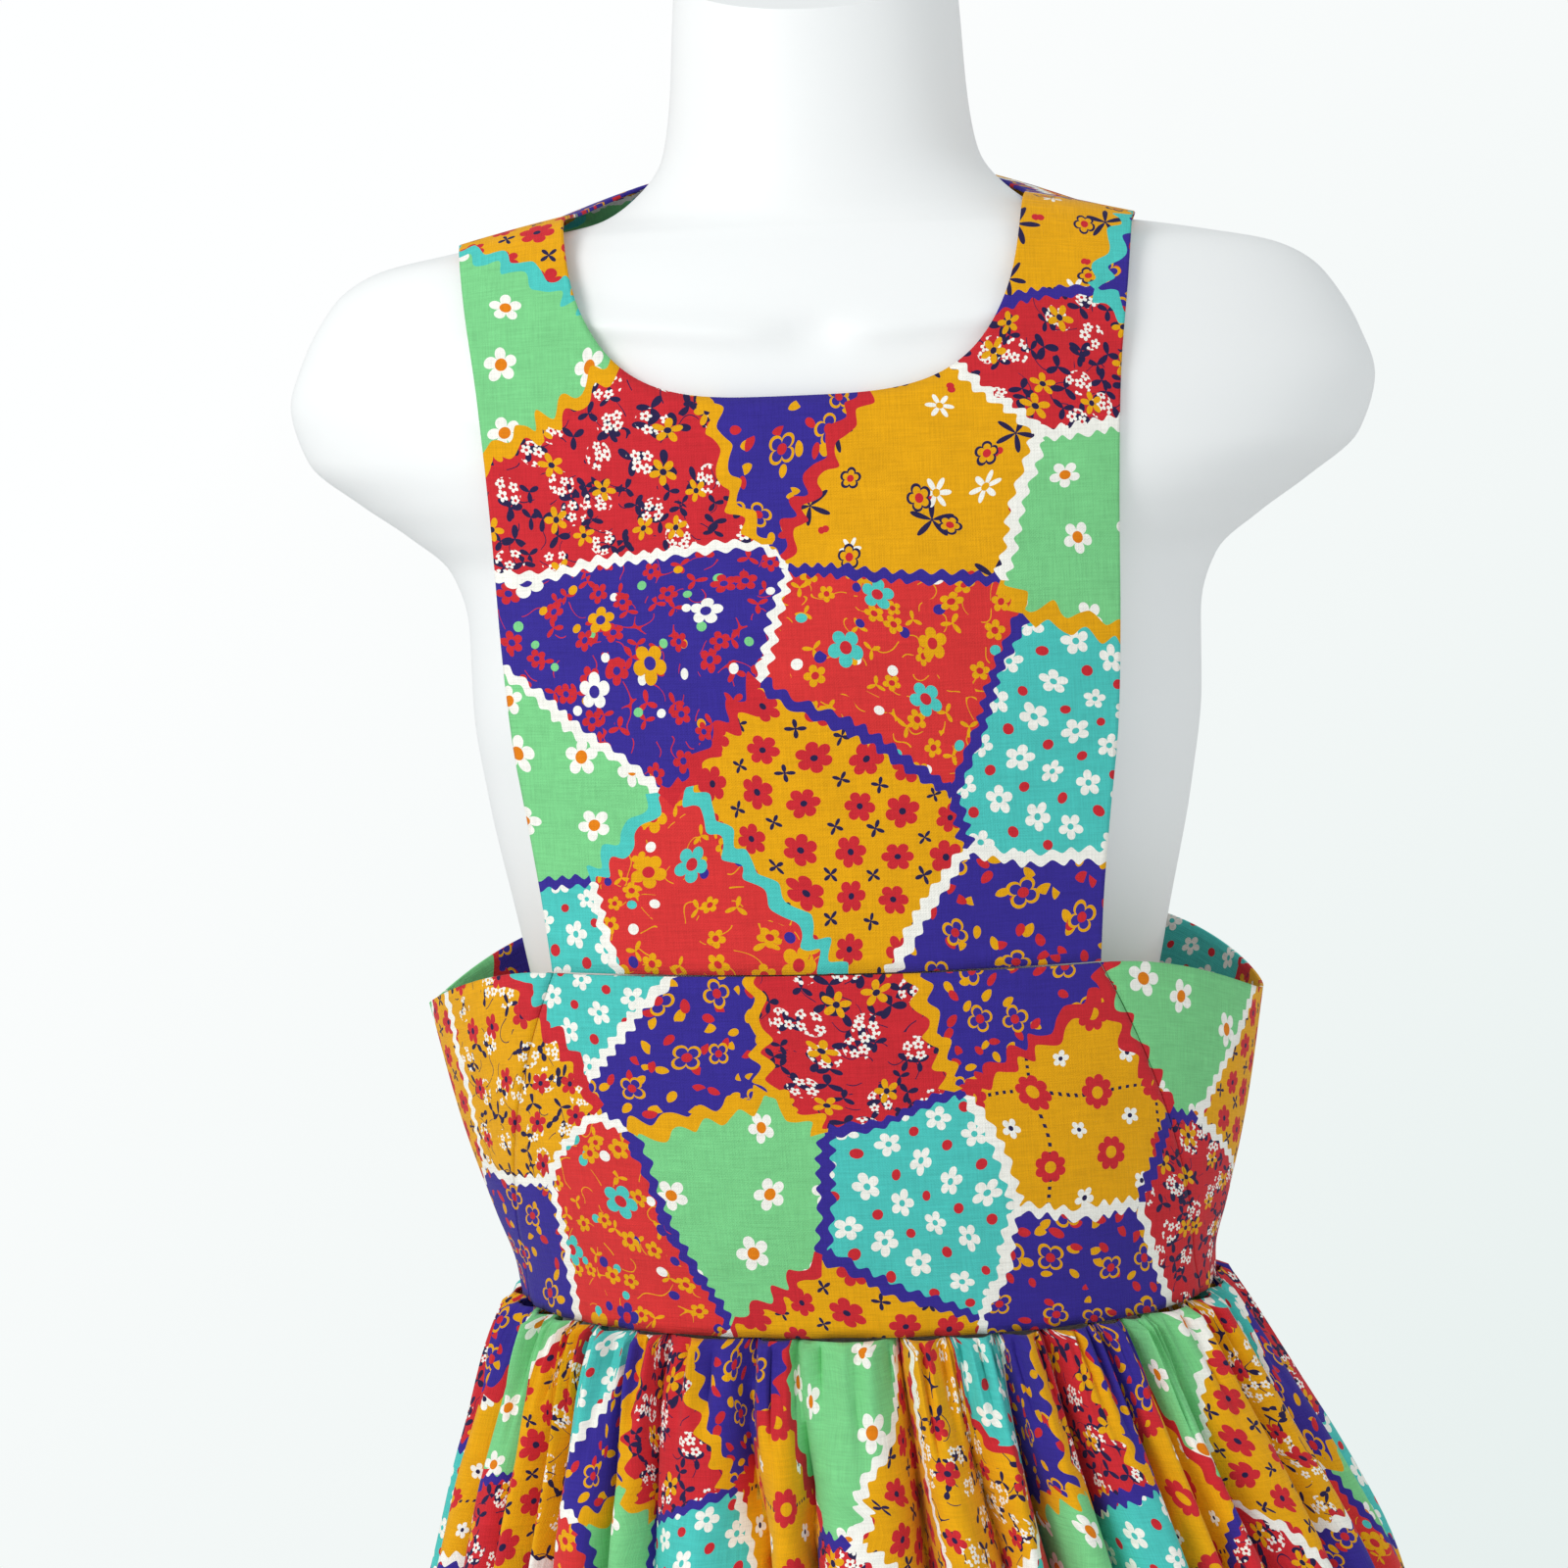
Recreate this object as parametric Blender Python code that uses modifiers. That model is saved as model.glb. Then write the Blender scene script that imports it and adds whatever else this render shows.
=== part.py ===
"""Pinafore dress with a bib front, open sides, a deep shaped waistband and a gathered skirt, worn by a
limbless dress form on a pole stand. Metres, +Z up. The front faces -Y and +X is on the viewer's right.
The origin is on the floor, at the centre of the stand's round base."""

import math
from collections import namedtuple

import bmesh
import bpy
from mathutils import Matrix, Vector

# Cloth
WALL = 0.0015
SEAM_GAP = 0.0005
BIB_SEAM_LIFT = 0.0007
LAYER_GAP = 0.0004

# Heights above the floor
BAND_TOP_Z = 1.0608
WAIST_Z = 0.9200
BAND_SIDE_DIP = 0.0233

# The bodice hangs over to the left: sideways shift for each metre above the waistband
BIB_LEAN = 0.028

# Neckline and straps, measured in the flat pattern
STRAP_INNER_X = 0.0895
FRONT_NECK_DEPTH = 0.1280
FRONT_NECK_ROUNDNESS = 3.6
BACK_NECK_DEPTH = 0.0600
BACK_NECK_ROUNDNESS = 1.6

# Grid of a bib: how its columns gather along the neckline, the share of them over the band seam, and the
# share of the strap's length that closes up to the shoulder seam
NECK_SHARE_POWER = 1.15
CORNER_SHARE = 0.40
STRAP_END_SHARE = 0.05

# Angles round the waistband, from the front centre, where its panels are sewn together
SEAM_ANGLE_TOP = 36.0
SEAM_ANGLE_WAIST = 72.0
RING_ROUNDNESS = 2.2

# Back closing
PLACKET_HALF_WIDTH = 0.012
BUTTON_RADIUS = 0.0075
BUTTON_THICKNESS = 0.0028
BUTTON_TAPER = 0.86
BUTTON_COUNT = 5
FIRST_BUTTON_DROP = 0.019
LAST_BUTTON_RISE = 0.014
CREASE_MARGIN = 0.0003

# Skirt
SEGMENTS_PER_FOLD = 6
SKIRT_ROWS = 9
GATHER_TOP_SHARE = 0.16
GATHER_DEPTH = 0.18
HEM_GROWTH = 0.45
RIDGE_POWER = 0.8
ROW_POWER = 1.5
HEM_ROUNDNESS_DROP = 0.2

# Stand
BASE_RADIUS = 0.170
BASE_THICKNESS = 0.012
BASE_BEVEL = 0.003
POLE_RADIUS = 0.0125
COLLAR_RADIUS = 0.024
COLLAR_HEIGHT = 0.030
TOUCH_GAP = 0.0003

# Dress form
FORM_COLUMNS = 36
NECK_TOP_SLOPE = 0.45
NECK_SLOPE_START_Z = 1.372
FORM_BOTTOM_Z = 0.765

# A bib row is a level on the panel: half_width of the cut, then the outer face at the centre line and at
# the edge.
BibRow = namedtuple("BibRow", "half_width centre_y centre_z edge_y edge_z")
FRONT_BIB = (
    BibRow(0.1037, -0.1215, BAND_TOP_Z, -0.1005, BAND_TOP_Z),
    BibRow(0.1060, -0.1215, 1.0850, -0.0985, 1.0850),
    BibRow(0.1100, -0.1212, 1.1150, -0.0950, 1.1150),
    BibRow(0.1150, -0.1202, 1.1500, -0.0905, 1.1500),
    BibRow(0.1175, -0.1170, 1.1850, -0.0860, 1.1850),
    BibRow(0.1195, -0.1030, 1.2300, -0.0795, 1.2300),
    BibRow(0.1225, -0.0885, 1.2770, -0.0735, 1.2770),
    BibRow(0.1270, -0.0800, 1.3150, -0.0630, 1.3120),
    BibRow(0.1305, -0.0480, 1.3540, -0.0430, 1.3392),
    BibRow(0.1320, 0.0000, 1.3615, 0.0000, 1.3415),
)
BACK_BIB = (
    BibRow(0.1037, 0.1180, BAND_TOP_Z, 0.0973, BAND_TOP_Z),
    BibRow(0.1060, 0.1125, 1.0850, 0.0940, 1.0850),
    BibRow(0.1100, 0.1070, 1.1150, 0.0905, 1.1150),
    BibRow(0.1150, 0.1030, 1.1500, 0.0870, 1.1500),
    BibRow(0.1175, 0.1000, 1.1850, 0.0840, 1.1850),
    BibRow(0.1195, 0.0955, 1.2350, 0.0790, 1.2300),
    BibRow(0.1225, 0.0875, 1.2850, 0.0715, 1.2770),
    BibRow(0.1270, 0.0770, 1.3280, 0.0600, 1.3120),
    BibRow(0.1305, 0.0470, 1.3750, 0.0410, 1.3392),
    BibRow(0.1320, 0.0000, 1.3615, 0.0000, 1.3415),
)

# A band row is a share of the way down the band, with the ring's half width and its depths to front and
# back.
BandRow = namedtuple("BandRow", "share half_width front back centre_x")
BAND = (
    BandRow(0.00, 0.1680, 0.1215, 0.1180, 0.000),
    BandRow(0.40, 0.1585, 0.1185, 0.1130, 0.002),
    BandRow(0.72, 0.1480, 0.1120, 0.1060, 0.004),
    BandRow(0.88, 0.1420, 0.1070, 0.1010, 0.005),
    BandRow(1.00, 0.1400, 0.1050, 0.0995, 0.006),
)

# A skirt row is a height, with the mean ring's half width and depths, and the sway of its centre to the
# side.
SkirtRow = namedtuple("SkirtRow", "z half_width front back centre_x")
SKIRT = (
    SkirtRow(WAIST_Z, 0.1400, 0.1050, 0.0995, 0.006),
    SkirtRow(0.900, 0.1500, 0.1170, 0.1110, 0.008),
    SkirtRow(0.860, 0.1650, 0.1370, 0.1300, 0.014),
    SkirtRow(0.800, 0.1870, 0.1600, 0.1520, 0.021),
    SkirtRow(0.700, 0.2110, 0.1850, 0.1770, 0.022),
    SkirtRow(0.550, 0.2350, 0.2100, 0.2020, 0.018),
    SkirtRow(0.360, 0.2600, 0.2350, 0.2270, 0.018),
)

# A fold is a ridge of the gathered skirt: degrees of the ring that it spans, how far its crest stands out of
# the mean ring and how far the valley after it lies inside that ring. They run from the left side seam
# across the front, and the back half has the same folds from its own seam on.
Fold = namedtuple("Fold", "degrees crest valley")
FRONT_FOLDS = (
    Fold(12.0, 0.011, 0.010),
    Fold(12.0, 0.012, 0.009),
    Fold(8.0, 0.010, 0.008),
    Fold(7.5, 0.010, 0.008),
    Fold(5.5, 0.006, 0.014),
    Fold(9.5, 0.012, 0.010),
    Fold(7.0, 0.009, 0.006),
    Fold(15.0, 0.007, 0.010),
    Fold(6.5, 0.008, 0.008),
    Fold(13.0, 0.011, 0.015),
    Fold(7.0, 0.012, 0.008),
    Fold(8.0, 0.010, 0.015),
    Fold(8.0, 0.011, 0.013),
    Fold(9.5, 0.012, 0.007),
    Fold(6.5, 0.009, 0.006),
    Fold(6.0, 0.009, 0.009),
    Fold(14.0, 0.012, 0.012),
    Fold(12.0, 0.012, 0.009),
    Fold(13.0, 0.011, 0.010),
)

# A form row is a height, with the figure's half width and its depths to front and back.
FormRow = namedtuple("FormRow", "z half_width front back")
FORM = (
    FormRow(FORM_BOTTOM_Z, 0.1250, 0.0900, 0.0930),
    FormRow(0.785, 0.1360, 0.0980, 0.1010),
    FormRow(0.830, 0.1370, 0.0975, 0.1000),
    FormRow(0.890, 0.1260, 0.0890, 0.0870),
    FormRow(0.950, 0.1170, 0.0830, 0.0780),
    FormRow(1.010, 0.1210, 0.0860, 0.0800),
    FormRow(1.063, 0.1300, 0.0910, 0.0850),
    FormRow(1.118, 0.1410, 0.1020, 0.0890),
    FormRow(1.157, 0.1460, 0.1115, 0.0915),
    FormRow(1.189, 0.1465, 0.1120, 0.0920),
    FormRow(1.211, 0.1530, 0.1040, 0.0910),
    FormRow(1.226, 0.1700, 0.0985, 0.0895),
    FormRow(1.240, 0.1900, 0.0945, 0.0880),
    FormRow(1.257, 0.2100, 0.0890, 0.0850),
    FormRow(1.279, 0.2165, 0.0840, 0.0815),
    FormRow(1.297, 0.2110, 0.0785, 0.0760),
    FormRow(1.312, 0.2030, 0.0735, 0.0700),
    FormRow(1.324, 0.1930, 0.0690, 0.0650),
    FormRow(1.332, 0.1780, 0.0650, 0.0610),
    FormRow(1.3369, 0.1550, 0.0620, 0.0585),
    FormRow(1.3408, 0.1320, 0.0600, 0.0565),
    FormRow(1.3438, 0.1100, 0.0580, 0.0545),
    FormRow(1.3478, 0.0900, 0.0565, 0.0530),
    FormRow(1.3570, 0.0745, 0.0550, 0.0515),
    FormRow(1.372, 0.0630, 0.0530, 0.0500),
    FormRow(1.395, 0.0590, 0.0515, 0.0500),
    FormRow(1.425, 0.0570, 0.0505, 0.0500),
    FormRow(1.446, 0.0555, 0.0500, 0.0500),
)

# Finishes: colour, roughness, metallic
PRINT_COTTON = ("print_cotton", (0.72, 0.22, 0.10), 0.85, 0.0)
BUTTON_PLASTIC = ("button_plastic", (0.86, 0.84, 0.78), 0.35, 0.0)
FORM_PLASTIC = ("form_plastic", (0.90, 0.92, 0.92), 0.45, 0.0)
STAND_METAL = ("stand_metal", (0.62, 0.63, 0.64), 0.30, 1.0)


def smoothstep(value):
    """0 below 0, 1 above 1, and a smooth rise between them."""
    share = min(1.0, max(0.0, value))
    return share * share * (3.0 - 2.0 * share)


def table_curve(positions, rows, columns):
    """A function of position that reads the named columns of rows, on a smooth curve with no overshoot."""
    slopes = {}
    for column in columns:
        values = [getattr(row, column) for row in rows]
        steps = [
            (values[i + 1] - values[i]) / (positions[i + 1] - positions[i])
            for i in range(len(rows) - 1)
        ]
        inner = [
            0.0 if a * b <= 0.0 else 2.0 * a * b / (a + b) for a, b in zip(steps, steps[1:])
        ]
        slopes[column] = [steps[0], *inner, steps[-1]]

    def read(position):
        index = 0
        while index < len(rows) - 2 and position > positions[index + 1]:
            index += 1
        width = positions[index + 1] - positions[index]
        s = min(1.0, max(0.0, (position - positions[index]) / width))
        found = []
        for column in columns:
            low = getattr(rows[index], column)
            high = getattr(rows[index + 1], column)
            low_slope = slopes[column][index] * width
            high_slope = slopes[column][index + 1] * width
            found.append(
                low * (1 + 2 * s) * (1 - s) ** 2
                + low_slope * s * (1 - s) ** 2
                + high * s * s * (3 - 2 * s)
                + high_slope * s * s * (s - 1)
            )
        return found

    return read


def ring_point(angle, half_width, front, back, roundness):
    """A point of a rounded ring: angle in degrees from the front centre, positive towards +X."""
    turn = math.radians(angle)
    across = math.sin(turn)
    along = math.cos(turn)
    power = 2.0 / roundness
    x = math.copysign(abs(across) ** power, across) * half_width
    y = -math.copysign(abs(along) ** power, along) * (front if along > 0 else back)
    return x, y


class BibPattern:
    """The flat cut of a bib panel, and how it lies on the figure. x runs across it and t up it, from the
    band seam to the shoulder seam."""

    def __init__(self, rows, neck_depth, neck_roundness):
        self.levels = [0.0]
        for low, high in zip(rows, rows[1:]):
            rise = (high.centre_z + high.edge_z - low.centre_z - low.edge_z) / 2
            run = (high.centre_y + high.edge_y - low.centre_y - low.edge_y) / 2
            self.levels.append(self.levels[-1] + math.hypot(rise, run))
        self.read = table_curve(self.levels, rows, BibRow._fields)
        self.length = self.levels[-1]
        self.neck_depth = neck_depth
        self.neck_power = 2.0 / neck_roundness

    def neckline(self, share):
        """A point (x, t) of the neckline: share 0 at the centre and 1 at the shoulder seam."""
        turn = share * math.pi / 2
        x = STRAP_INNER_X * math.sin(turn) ** self.neck_power
        t = self.length - self.neck_depth * math.cos(turn) ** self.neck_power
        return x, t

    def outline(self, share, corner_share):
        """A point (x, t) of the bottom edge up to corner_share, and of the armhole edge from there on."""
        if share <= corner_share:
            return self.read(0.0)[0] * share / corner_share, 0.0
        t = self.length * (share - corner_share) / (1.0 - corner_share)
        return self.read(t)[0], t

    def flat(self, share, reach, corner_share=CORNER_SHARE):
        """A point (x, t) between the neckline, at reach 0, and the outline, at reach 1."""
        neck = self.neckline(min(1.0, share ** NECK_SHARE_POWER))
        rim = self.outline(share, corner_share)
        return tuple(a + (b - a) * reach for a, b in zip(neck, rim))

    def place(self, x, t):
        """The outer face's point in space for (x, t) of the flat cut."""
        half_width, centre_y, centre_z, edge_y, edge_z = self.read(t)
        setback = (x / half_width) ** 2
        y = centre_y + (edge_y - centre_y) * setback
        z = centre_z + (edge_z - centre_z) * setback
        z += BIB_LEAN * (x + half_width) / 2 * t / self.length
        return Vector((x - BIB_LEAN * (z - BAND_TOP_Z), y, z))


def band_seam_angle(share):
    """The angle of the side-front seam at this share of the way down the band."""
    return SEAM_ANGLE_TOP + (SEAM_ANGLE_WAIST - SEAM_ANGLE_TOP) * share


def band_place(angle, share):
    """The band's outer face: angle round it from the front centre, share of the way down."""
    half_width, front, back, centre_x = BAND_CURVE(share)
    x, y = ring_point(angle, half_width, front, back, RING_ROUNDNESS)
    from_side = abs(90.0 - abs(angle)) / (90.0 - SEAM_ANGLE_TOP)
    top = BAND_TOP_Z - BAND_SIDE_DIP * smoothstep(1.0 - from_side)
    return Vector((x + centre_x, y, top + (WAIST_Z - top) * share))


def fold_offset(turn_share, down):
    """How far the skirt stands out of its mean ring. turn_share counts folds from the seam, down is 0 at
    the waist and 1 at the hem."""
    index = min(len(FRONT_FOLDS) - 1, int(turn_share))
    s = turn_share - index
    fold = FRONT_FOLDS[index]
    before = FRONT_FOLDS[index - 1].valley
    valley = before + (fold.valley - before) * s
    ridge = math.sin(math.pi * min(1.0, max(0.0, s))) ** RIDGE_POWER
    opened = GATHER_DEPTH + (1.0 - GATHER_DEPTH) * smoothstep(down / GATHER_TOP_SHARE)
    growth = opened + HEM_GROWTH * down
    return growth * ((fold.crest + valley) * ridge - valley)


def fold_angle(turn_share):
    """Degrees from the side seam at this count of folds."""
    index = min(len(FRONT_FOLDS) - 1, int(turn_share))
    passed = sum(fold.degrees for fold in FRONT_FOLDS[:index])
    return passed + FRONT_FOLDS[index].degrees * (turn_share - index)


def skirt_place(start_angle, turn_share, down):
    """The skirt's outer face: start_angle is the seam's angle, turn_share counts folds from it."""
    bottom = SKIRT[-1].z
    z = WAIST_Z - SEAM_GAP - (WAIST_Z - SEAM_GAP - bottom) * down
    half_width, front, back, centre_x = SKIRT_CURVE(-z)
    angle = start_angle + fold_angle(turn_share)
    gap = seam_degrees(half_width)
    angle = min(start_angle + 180.0 - gap, max(start_angle + gap, angle))
    roundness = RING_ROUNDNESS - HEM_ROUNDNESS_DROP * down
    x, y = ring_point(angle, half_width, front, back, roundness)
    out = Vector((x / half_width ** 2, y / front ** 2, 0.0)).normalized()
    return Vector((x + centre_x, y, z)) + out * fold_offset(turn_share, down)


def seam_degrees(radius):
    """Half of a seam's gap, as an angle on a ring of this radius."""
    return math.degrees(SEAM_GAP / 2 / radius)


def closed_share(position, share_of_whole):
    """Keeps a panel's edge half a seam gap away from where its neighbour ends."""
    return share_of_whole + position * (1.0 - 2.0 * share_of_whole)


def new_material(finish):
    """A Principled material from a (name, colour, roughness, metallic) finish, made once."""
    name, colour, roughness, metallic = finish
    found = bpy.data.materials.get(name)
    if found:
        return found
    material = bpy.data.materials.new(name)
    material.use_nodes = True
    shader = material.node_tree.nodes["Principled BSDF"]
    shader.inputs["Base Color"].default_value = (*colour, 1.0)
    shader.inputs["Roughness"].default_value = roughness
    shader.inputs["Metallic"].default_value = metallic
    return material


def add_object(name, mesh_builder, finish, smooth=True):
    """Links a new object whose mesh comes from a bmesh, and gives it its finish."""
    mesh = bpy.data.meshes.new(name)
    mesh_builder.to_mesh(mesh)
    mesh_builder.free()
    if smooth:
        mesh.shade_smooth()
        mesh.set_sharp_from_angle(angle=math.radians(40))
    mesh.materials.append(new_material(finish))
    part = bpy.data.objects.new(name, mesh)
    PARTS.objects.link(part)
    return part


def cloth_panel(name, columns, rows, place):
    """A cloth wall: a grid laid on place(u, v), u and v from 0 to 1, thickened inwards."""
    PANELS[name] = (columns, rows, place)
    sheet = bmesh.new()
    bmesh.ops.create_grid(sheet, x_segments=columns, y_segments=rows, size=0.5)
    for corner in sheet.verts:
        corner.co = place(corner.co.x + 0.5, corner.co.y + 0.5)
    panel = add_object(name, sheet, PRINT_COTTON)
    wall = panel.modifiers.new("cloth wall", "SOLIDIFY")
    wall.thickness = WALL
    wall.offset = -1.0
    return panel


def build_front_bib():
    """The bib with both front straps, one piece, spread like a horseshoe round the neckline."""

    def place(u, v):
        side = 2.0 * u - 1.0
        x, t = FRONT_PATTERN.flat(abs(side), 1.0 - v)
        lift = BIB_SEAM_LIFT * (1.0 - t / FRONT_PATTERN.length)
        drop = SEAM_GAP / 2 * smoothstep(1.0 - (1.0 - t / FRONT_PATTERN.length) / STRAP_END_SHARE)
        point = FRONT_PATTERN.place(math.copysign(x, side), t)
        return point + Vector((0.0, -drop, lift))

    cloth_panel("bib_front", 36, 7, place)


def build_back_bib(side_name, side):
    """One half of the back bodice, from the shoulder seam to the centre back."""

    def place(u, v):
        share = u if side < 0 else 1.0 - u
        x, t = BACK_PATTERN.flat(share, 1.0 - v)
        x = max(x, SEAM_GAP / 2)
        lift = BIB_SEAM_LIFT * (1.0 - t / BACK_PATTERN.length)
        drop = SEAM_GAP / 2 * smoothstep(1.0 - (1.0 - t / BACK_PATTERN.length) / STRAP_END_SHARE)
        return BACK_PATTERN.place(side * x, t) + Vector((0.0, drop, lift))

    cloth_panel(f"bib_back_{side_name}", 16, 7, place)


def build_band():
    """The deep waistband: a front panel, two side panels and two back halves."""

    def panel(name, columns, start, end):
        def place(u, v):
            share = 1.0 - v
            low = start(share)
            high = end(share)
            return band_place(low + (high - low) * closed_share(u, gap_share(high - low)), share)

        cloth_panel(name, columns, 5, place)

    def gap_share(degrees):
        return seam_degrees(BAND[-1].front) / degrees

    panel("band_front", 18, lambda s: -band_seam_angle(s), band_seam_angle)
    panel("band_side_right", 14, band_seam_angle, lambda s: 180.0 - band_seam_angle(s))
    panel("band_side_left", 14, lambda s: band_seam_angle(s) - 180.0, lambda s: -band_seam_angle(s))
    panel("band_back_right", 9, lambda s: 180.0 - band_seam_angle(s), lambda s: 180.0)
    panel("band_back_left", 9, lambda s: -180.0, lambda s: band_seam_angle(s) - 180.0)


def build_skirt():
    """The gathered skirt: a front and a back panel, sewn at the sides."""
    columns = SEGMENTS_PER_FOLD * len(FRONT_FOLDS)
    for name, start_angle in (("skirt_front", -90.0), ("skirt_back", 90.0)):
        cloth_panel(
            name,
            columns,
            SKIRT_ROWS,
            lambda u, v, start=start_angle: skirt_place(start, u * len(FRONT_FOLDS), (1.0 - v) ** ROW_POWER),
        )


def panel_point(name, column, row):
    """A corner of a cloth panel's outer face, counted from its start and from its lower edge."""
    columns, rows, place = PANELS[name]
    return place(column / columns, row / rows)


def placket_levels():
    """The outer face under the placket, from the neckline down: left, centre and right points by level."""
    levels = []
    for left, right in (("bib_back_left", "bib_back_right"), ("band_back_left", "band_back_right")):
        rows = PANELS[left][1]
        right_end = PANELS[right][0]
        for row in range(rows if not levels else rows - 1, -1, -1):
            seam_left = panel_point(left, 0, row)
            seam_right = panel_point(right, right_end, row)
            centre = (seam_left + seam_right) / 2
            edges = []
            for seam, beside in (
                (seam_left, panel_point(left, 1, row)),
                (seam_right, panel_point(right, right_end - 1, row)),
            ):
                reach = (PLACKET_HALF_WIDTH - abs(seam.x - centre.x)) / abs(beside.x - seam.x)
                edges.append(seam.lerp(beside, reach))
            levels.append((edges[0], centre, edges[1]))
    return levels


def outward(levels, index):
    """The direction that the back faces at a level of the placket."""
    above = levels[max(0, index - 1)][1]
    below = levels[min(len(levels) - 1, index + 1)][1]
    return (below - above).cross(Vector((1.0, 0.0, 0.0))).normalized() * -1.0


def button_seats(levels):
    """Button seats, spaced evenly but clear of the placket's creases: level and share to the next."""
    lengths = [0.0]
    for above, below in zip(levels, levels[1:]):
        lengths.append(lengths[-1] + (below[1] - above[1]).length)
    spacing = (lengths[-1] - FIRST_BUTTON_DROP - LAST_BUTTON_RISE) / (BUTTON_COUNT - 1)
    keep = BUTTON_RADIUS + CREASE_MARGIN
    seats = []
    for number in range(BUTTON_COUNT):
        drop = FIRST_BUTTON_DROP + spacing * number
        level = max(index for index in range(len(levels) - 1) if lengths[index] <= drop)
        start, end = lengths[level], lengths[level + 1]
        seats.append((level, (min(end - keep, max(start + keep, drop)) - start) / (end - start)))
    return seats


def build_back_closing():
    """The buttoned placket over both back halves, and its buttons."""
    levels = placket_levels()
    strip = bmesh.new()
    bmesh.ops.create_grid(strip, x_segments=2, y_segments=len(levels) - 1, size=1.0)
    for corner in strip.verts:
        level = round((1.0 - corner.co.y) / 2.0 * (len(levels) - 1))
        side = round(1.0 - corner.co.x)
        corner.co = levels[level][side] + outward(levels, level) * LAYER_GAP
    placket = add_object("back_placket", strip, PRINT_COTTON)
    wall = placket.modifiers.new("cloth wall", "SOLIDIFY")
    wall.thickness = WALL
    wall.offset = 1.0

    lift = LAYER_GAP + WALL + TOUCH_GAP + BUTTON_THICKNESS / 2
    for number, (level, share) in enumerate(button_seats(levels), 1):
        above, below = levels[level][1], levels[level + 1][1]
        normal = (below - above).cross(Vector((1.0, 0.0, 0.0))).normalized() * -1.0
        centre = above.lerp(below, share) + normal * lift
        button = bmesh.new()
        bmesh.ops.create_cone(
            button,
            cap_ends=True,
            segments=20,
            radius1=BUTTON_RADIUS,
            radius2=BUTTON_RADIUS * BUTTON_TAPER,
            depth=BUTTON_THICKNESS,
            matrix=Matrix.Translation(centre) @ normal.to_track_quat("Z", "Y").to_matrix().to_4x4(),
        )
        add_object(f"button_{number}", button, BUTTON_PLASTIC)


def build_form():
    """The smooth figure with a neck and rounded shoulders, closed below the hips."""
    rows = len(FORM)
    rings = rows + 4
    body = bmesh.new()
    bmesh.ops.create_uvsphere(body, u_segments=FORM_COLUMNS, v_segments=rings, radius=1.0)
    for corner in body.verts:
        level = (1.0 - math.acos(max(-1.0, min(1.0, corner.co.z))) / math.pi) * rings - 2.0
        angle = math.degrees(math.atan2(corner.co.x, -corner.co.y))
        corner.co = form_point(angle, level, rows)
    add_object("torso_form", body, FORM_PLASTIC)


def form_point(angle, level, rows):
    """The form's skin at a row number; below the first row and above the last the ends close over."""
    inside = min(rows - 1.0, max(0.0, level))
    row = FORM[round(inside)]
    beyond = abs(level - inside)
    shrink = (1.0, 0.62, 0.0)[min(2, round(beyond))]
    x, y = ring_point(angle, row.half_width, row.front, row.back, 2.0)
    slope = NECK_TOP_SLOPE * smoothstep((row.z - NECK_SLOPE_START_Z) / (FORM[-1].z - NECK_SLOPE_START_Z))
    return Vector((x * shrink, y * shrink, row.z + slope * y * shrink))


def build_stand():
    """A flat round base, a pole and the collar under the form."""
    base = bmesh.new()
    bmesh.ops.create_cone(
        base,
        cap_ends=True,
        segments=48,
        radius1=BASE_RADIUS,
        radius2=BASE_RADIUS,
        depth=BASE_THICKNESS,
        matrix=Matrix.Translation((0.0, 0.0, BASE_THICKNESS / 2)),
    )
    stand_base = add_object("stand_base", base, STAND_METAL)
    rounding = stand_base.modifiers.new("rounded rim", "BEVEL")
    rounding.width = BASE_BEVEL
    rounding.segments = 2
    rounding.limit_method = "ANGLE"

    pole_top = FORM_BOTTOM_Z - COLLAR_HEIGHT - 2 * TOUCH_GAP
    pole_bottom = BASE_THICKNESS + TOUCH_GAP
    for name, radius, bottom, top in (
        ("stand_pole", POLE_RADIUS, pole_bottom, pole_top),
        ("stand_collar", COLLAR_RADIUS, pole_top + TOUCH_GAP, FORM_BOTTOM_Z - TOUCH_GAP),
    ):
        turned = bmesh.new()
        bmesh.ops.create_cone(
            turned,
            cap_ends=True,
            segments=24,
            radius1=radius,
            radius2=radius,
            depth=top - bottom,
            matrix=Matrix.Translation((0.0, 0.0, (top + bottom) / 2)),
        )
        add_object(name, turned, STAND_METAL)


for old in list(bpy.data.objects):
    bpy.data.objects.remove(old)
PARTS = bpy.data.collections.new("pinafore_dress")
bpy.context.scene.collection.children.link(PARTS)

BAND_CURVE = table_curve([row.share for row in BAND], BAND, BandRow._fields[1:])
SKIRT_CURVE = table_curve([-row.z for row in SKIRT], SKIRT, SkirtRow._fields[1:])
FRONT_PATTERN = BibPattern(FRONT_BIB, FRONT_NECK_DEPTH, FRONT_NECK_ROUNDNESS)
BACK_PATTERN = BibPattern(BACK_BIB, BACK_NECK_DEPTH, BACK_NECK_ROUNDNESS)
PANELS = {}

build_form()
build_stand()
build_front_bib()
build_back_bib("left", -1.0)
build_back_bib("right", 1.0)
build_band()
build_skirt()
build_back_closing()
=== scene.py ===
"""Looks of a patchwork-print pinafore dress worn by a smooth white dress form.

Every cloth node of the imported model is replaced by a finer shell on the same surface, which carries its own
cloth coordinates for the print. The form, the stand and the buttons get finer pieces of the same shape.
Metres, +Z up. The front faces -Y and +X is on the viewer's right.
"""

import logging
import math
from collections.abc import Callable, Sequence
from dataclasses import dataclass, field
from enum import Enum
from itertools import product
from typing import NamedTuple

import bmesh
import bpy
from mathutils import Matrix, Vector


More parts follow.
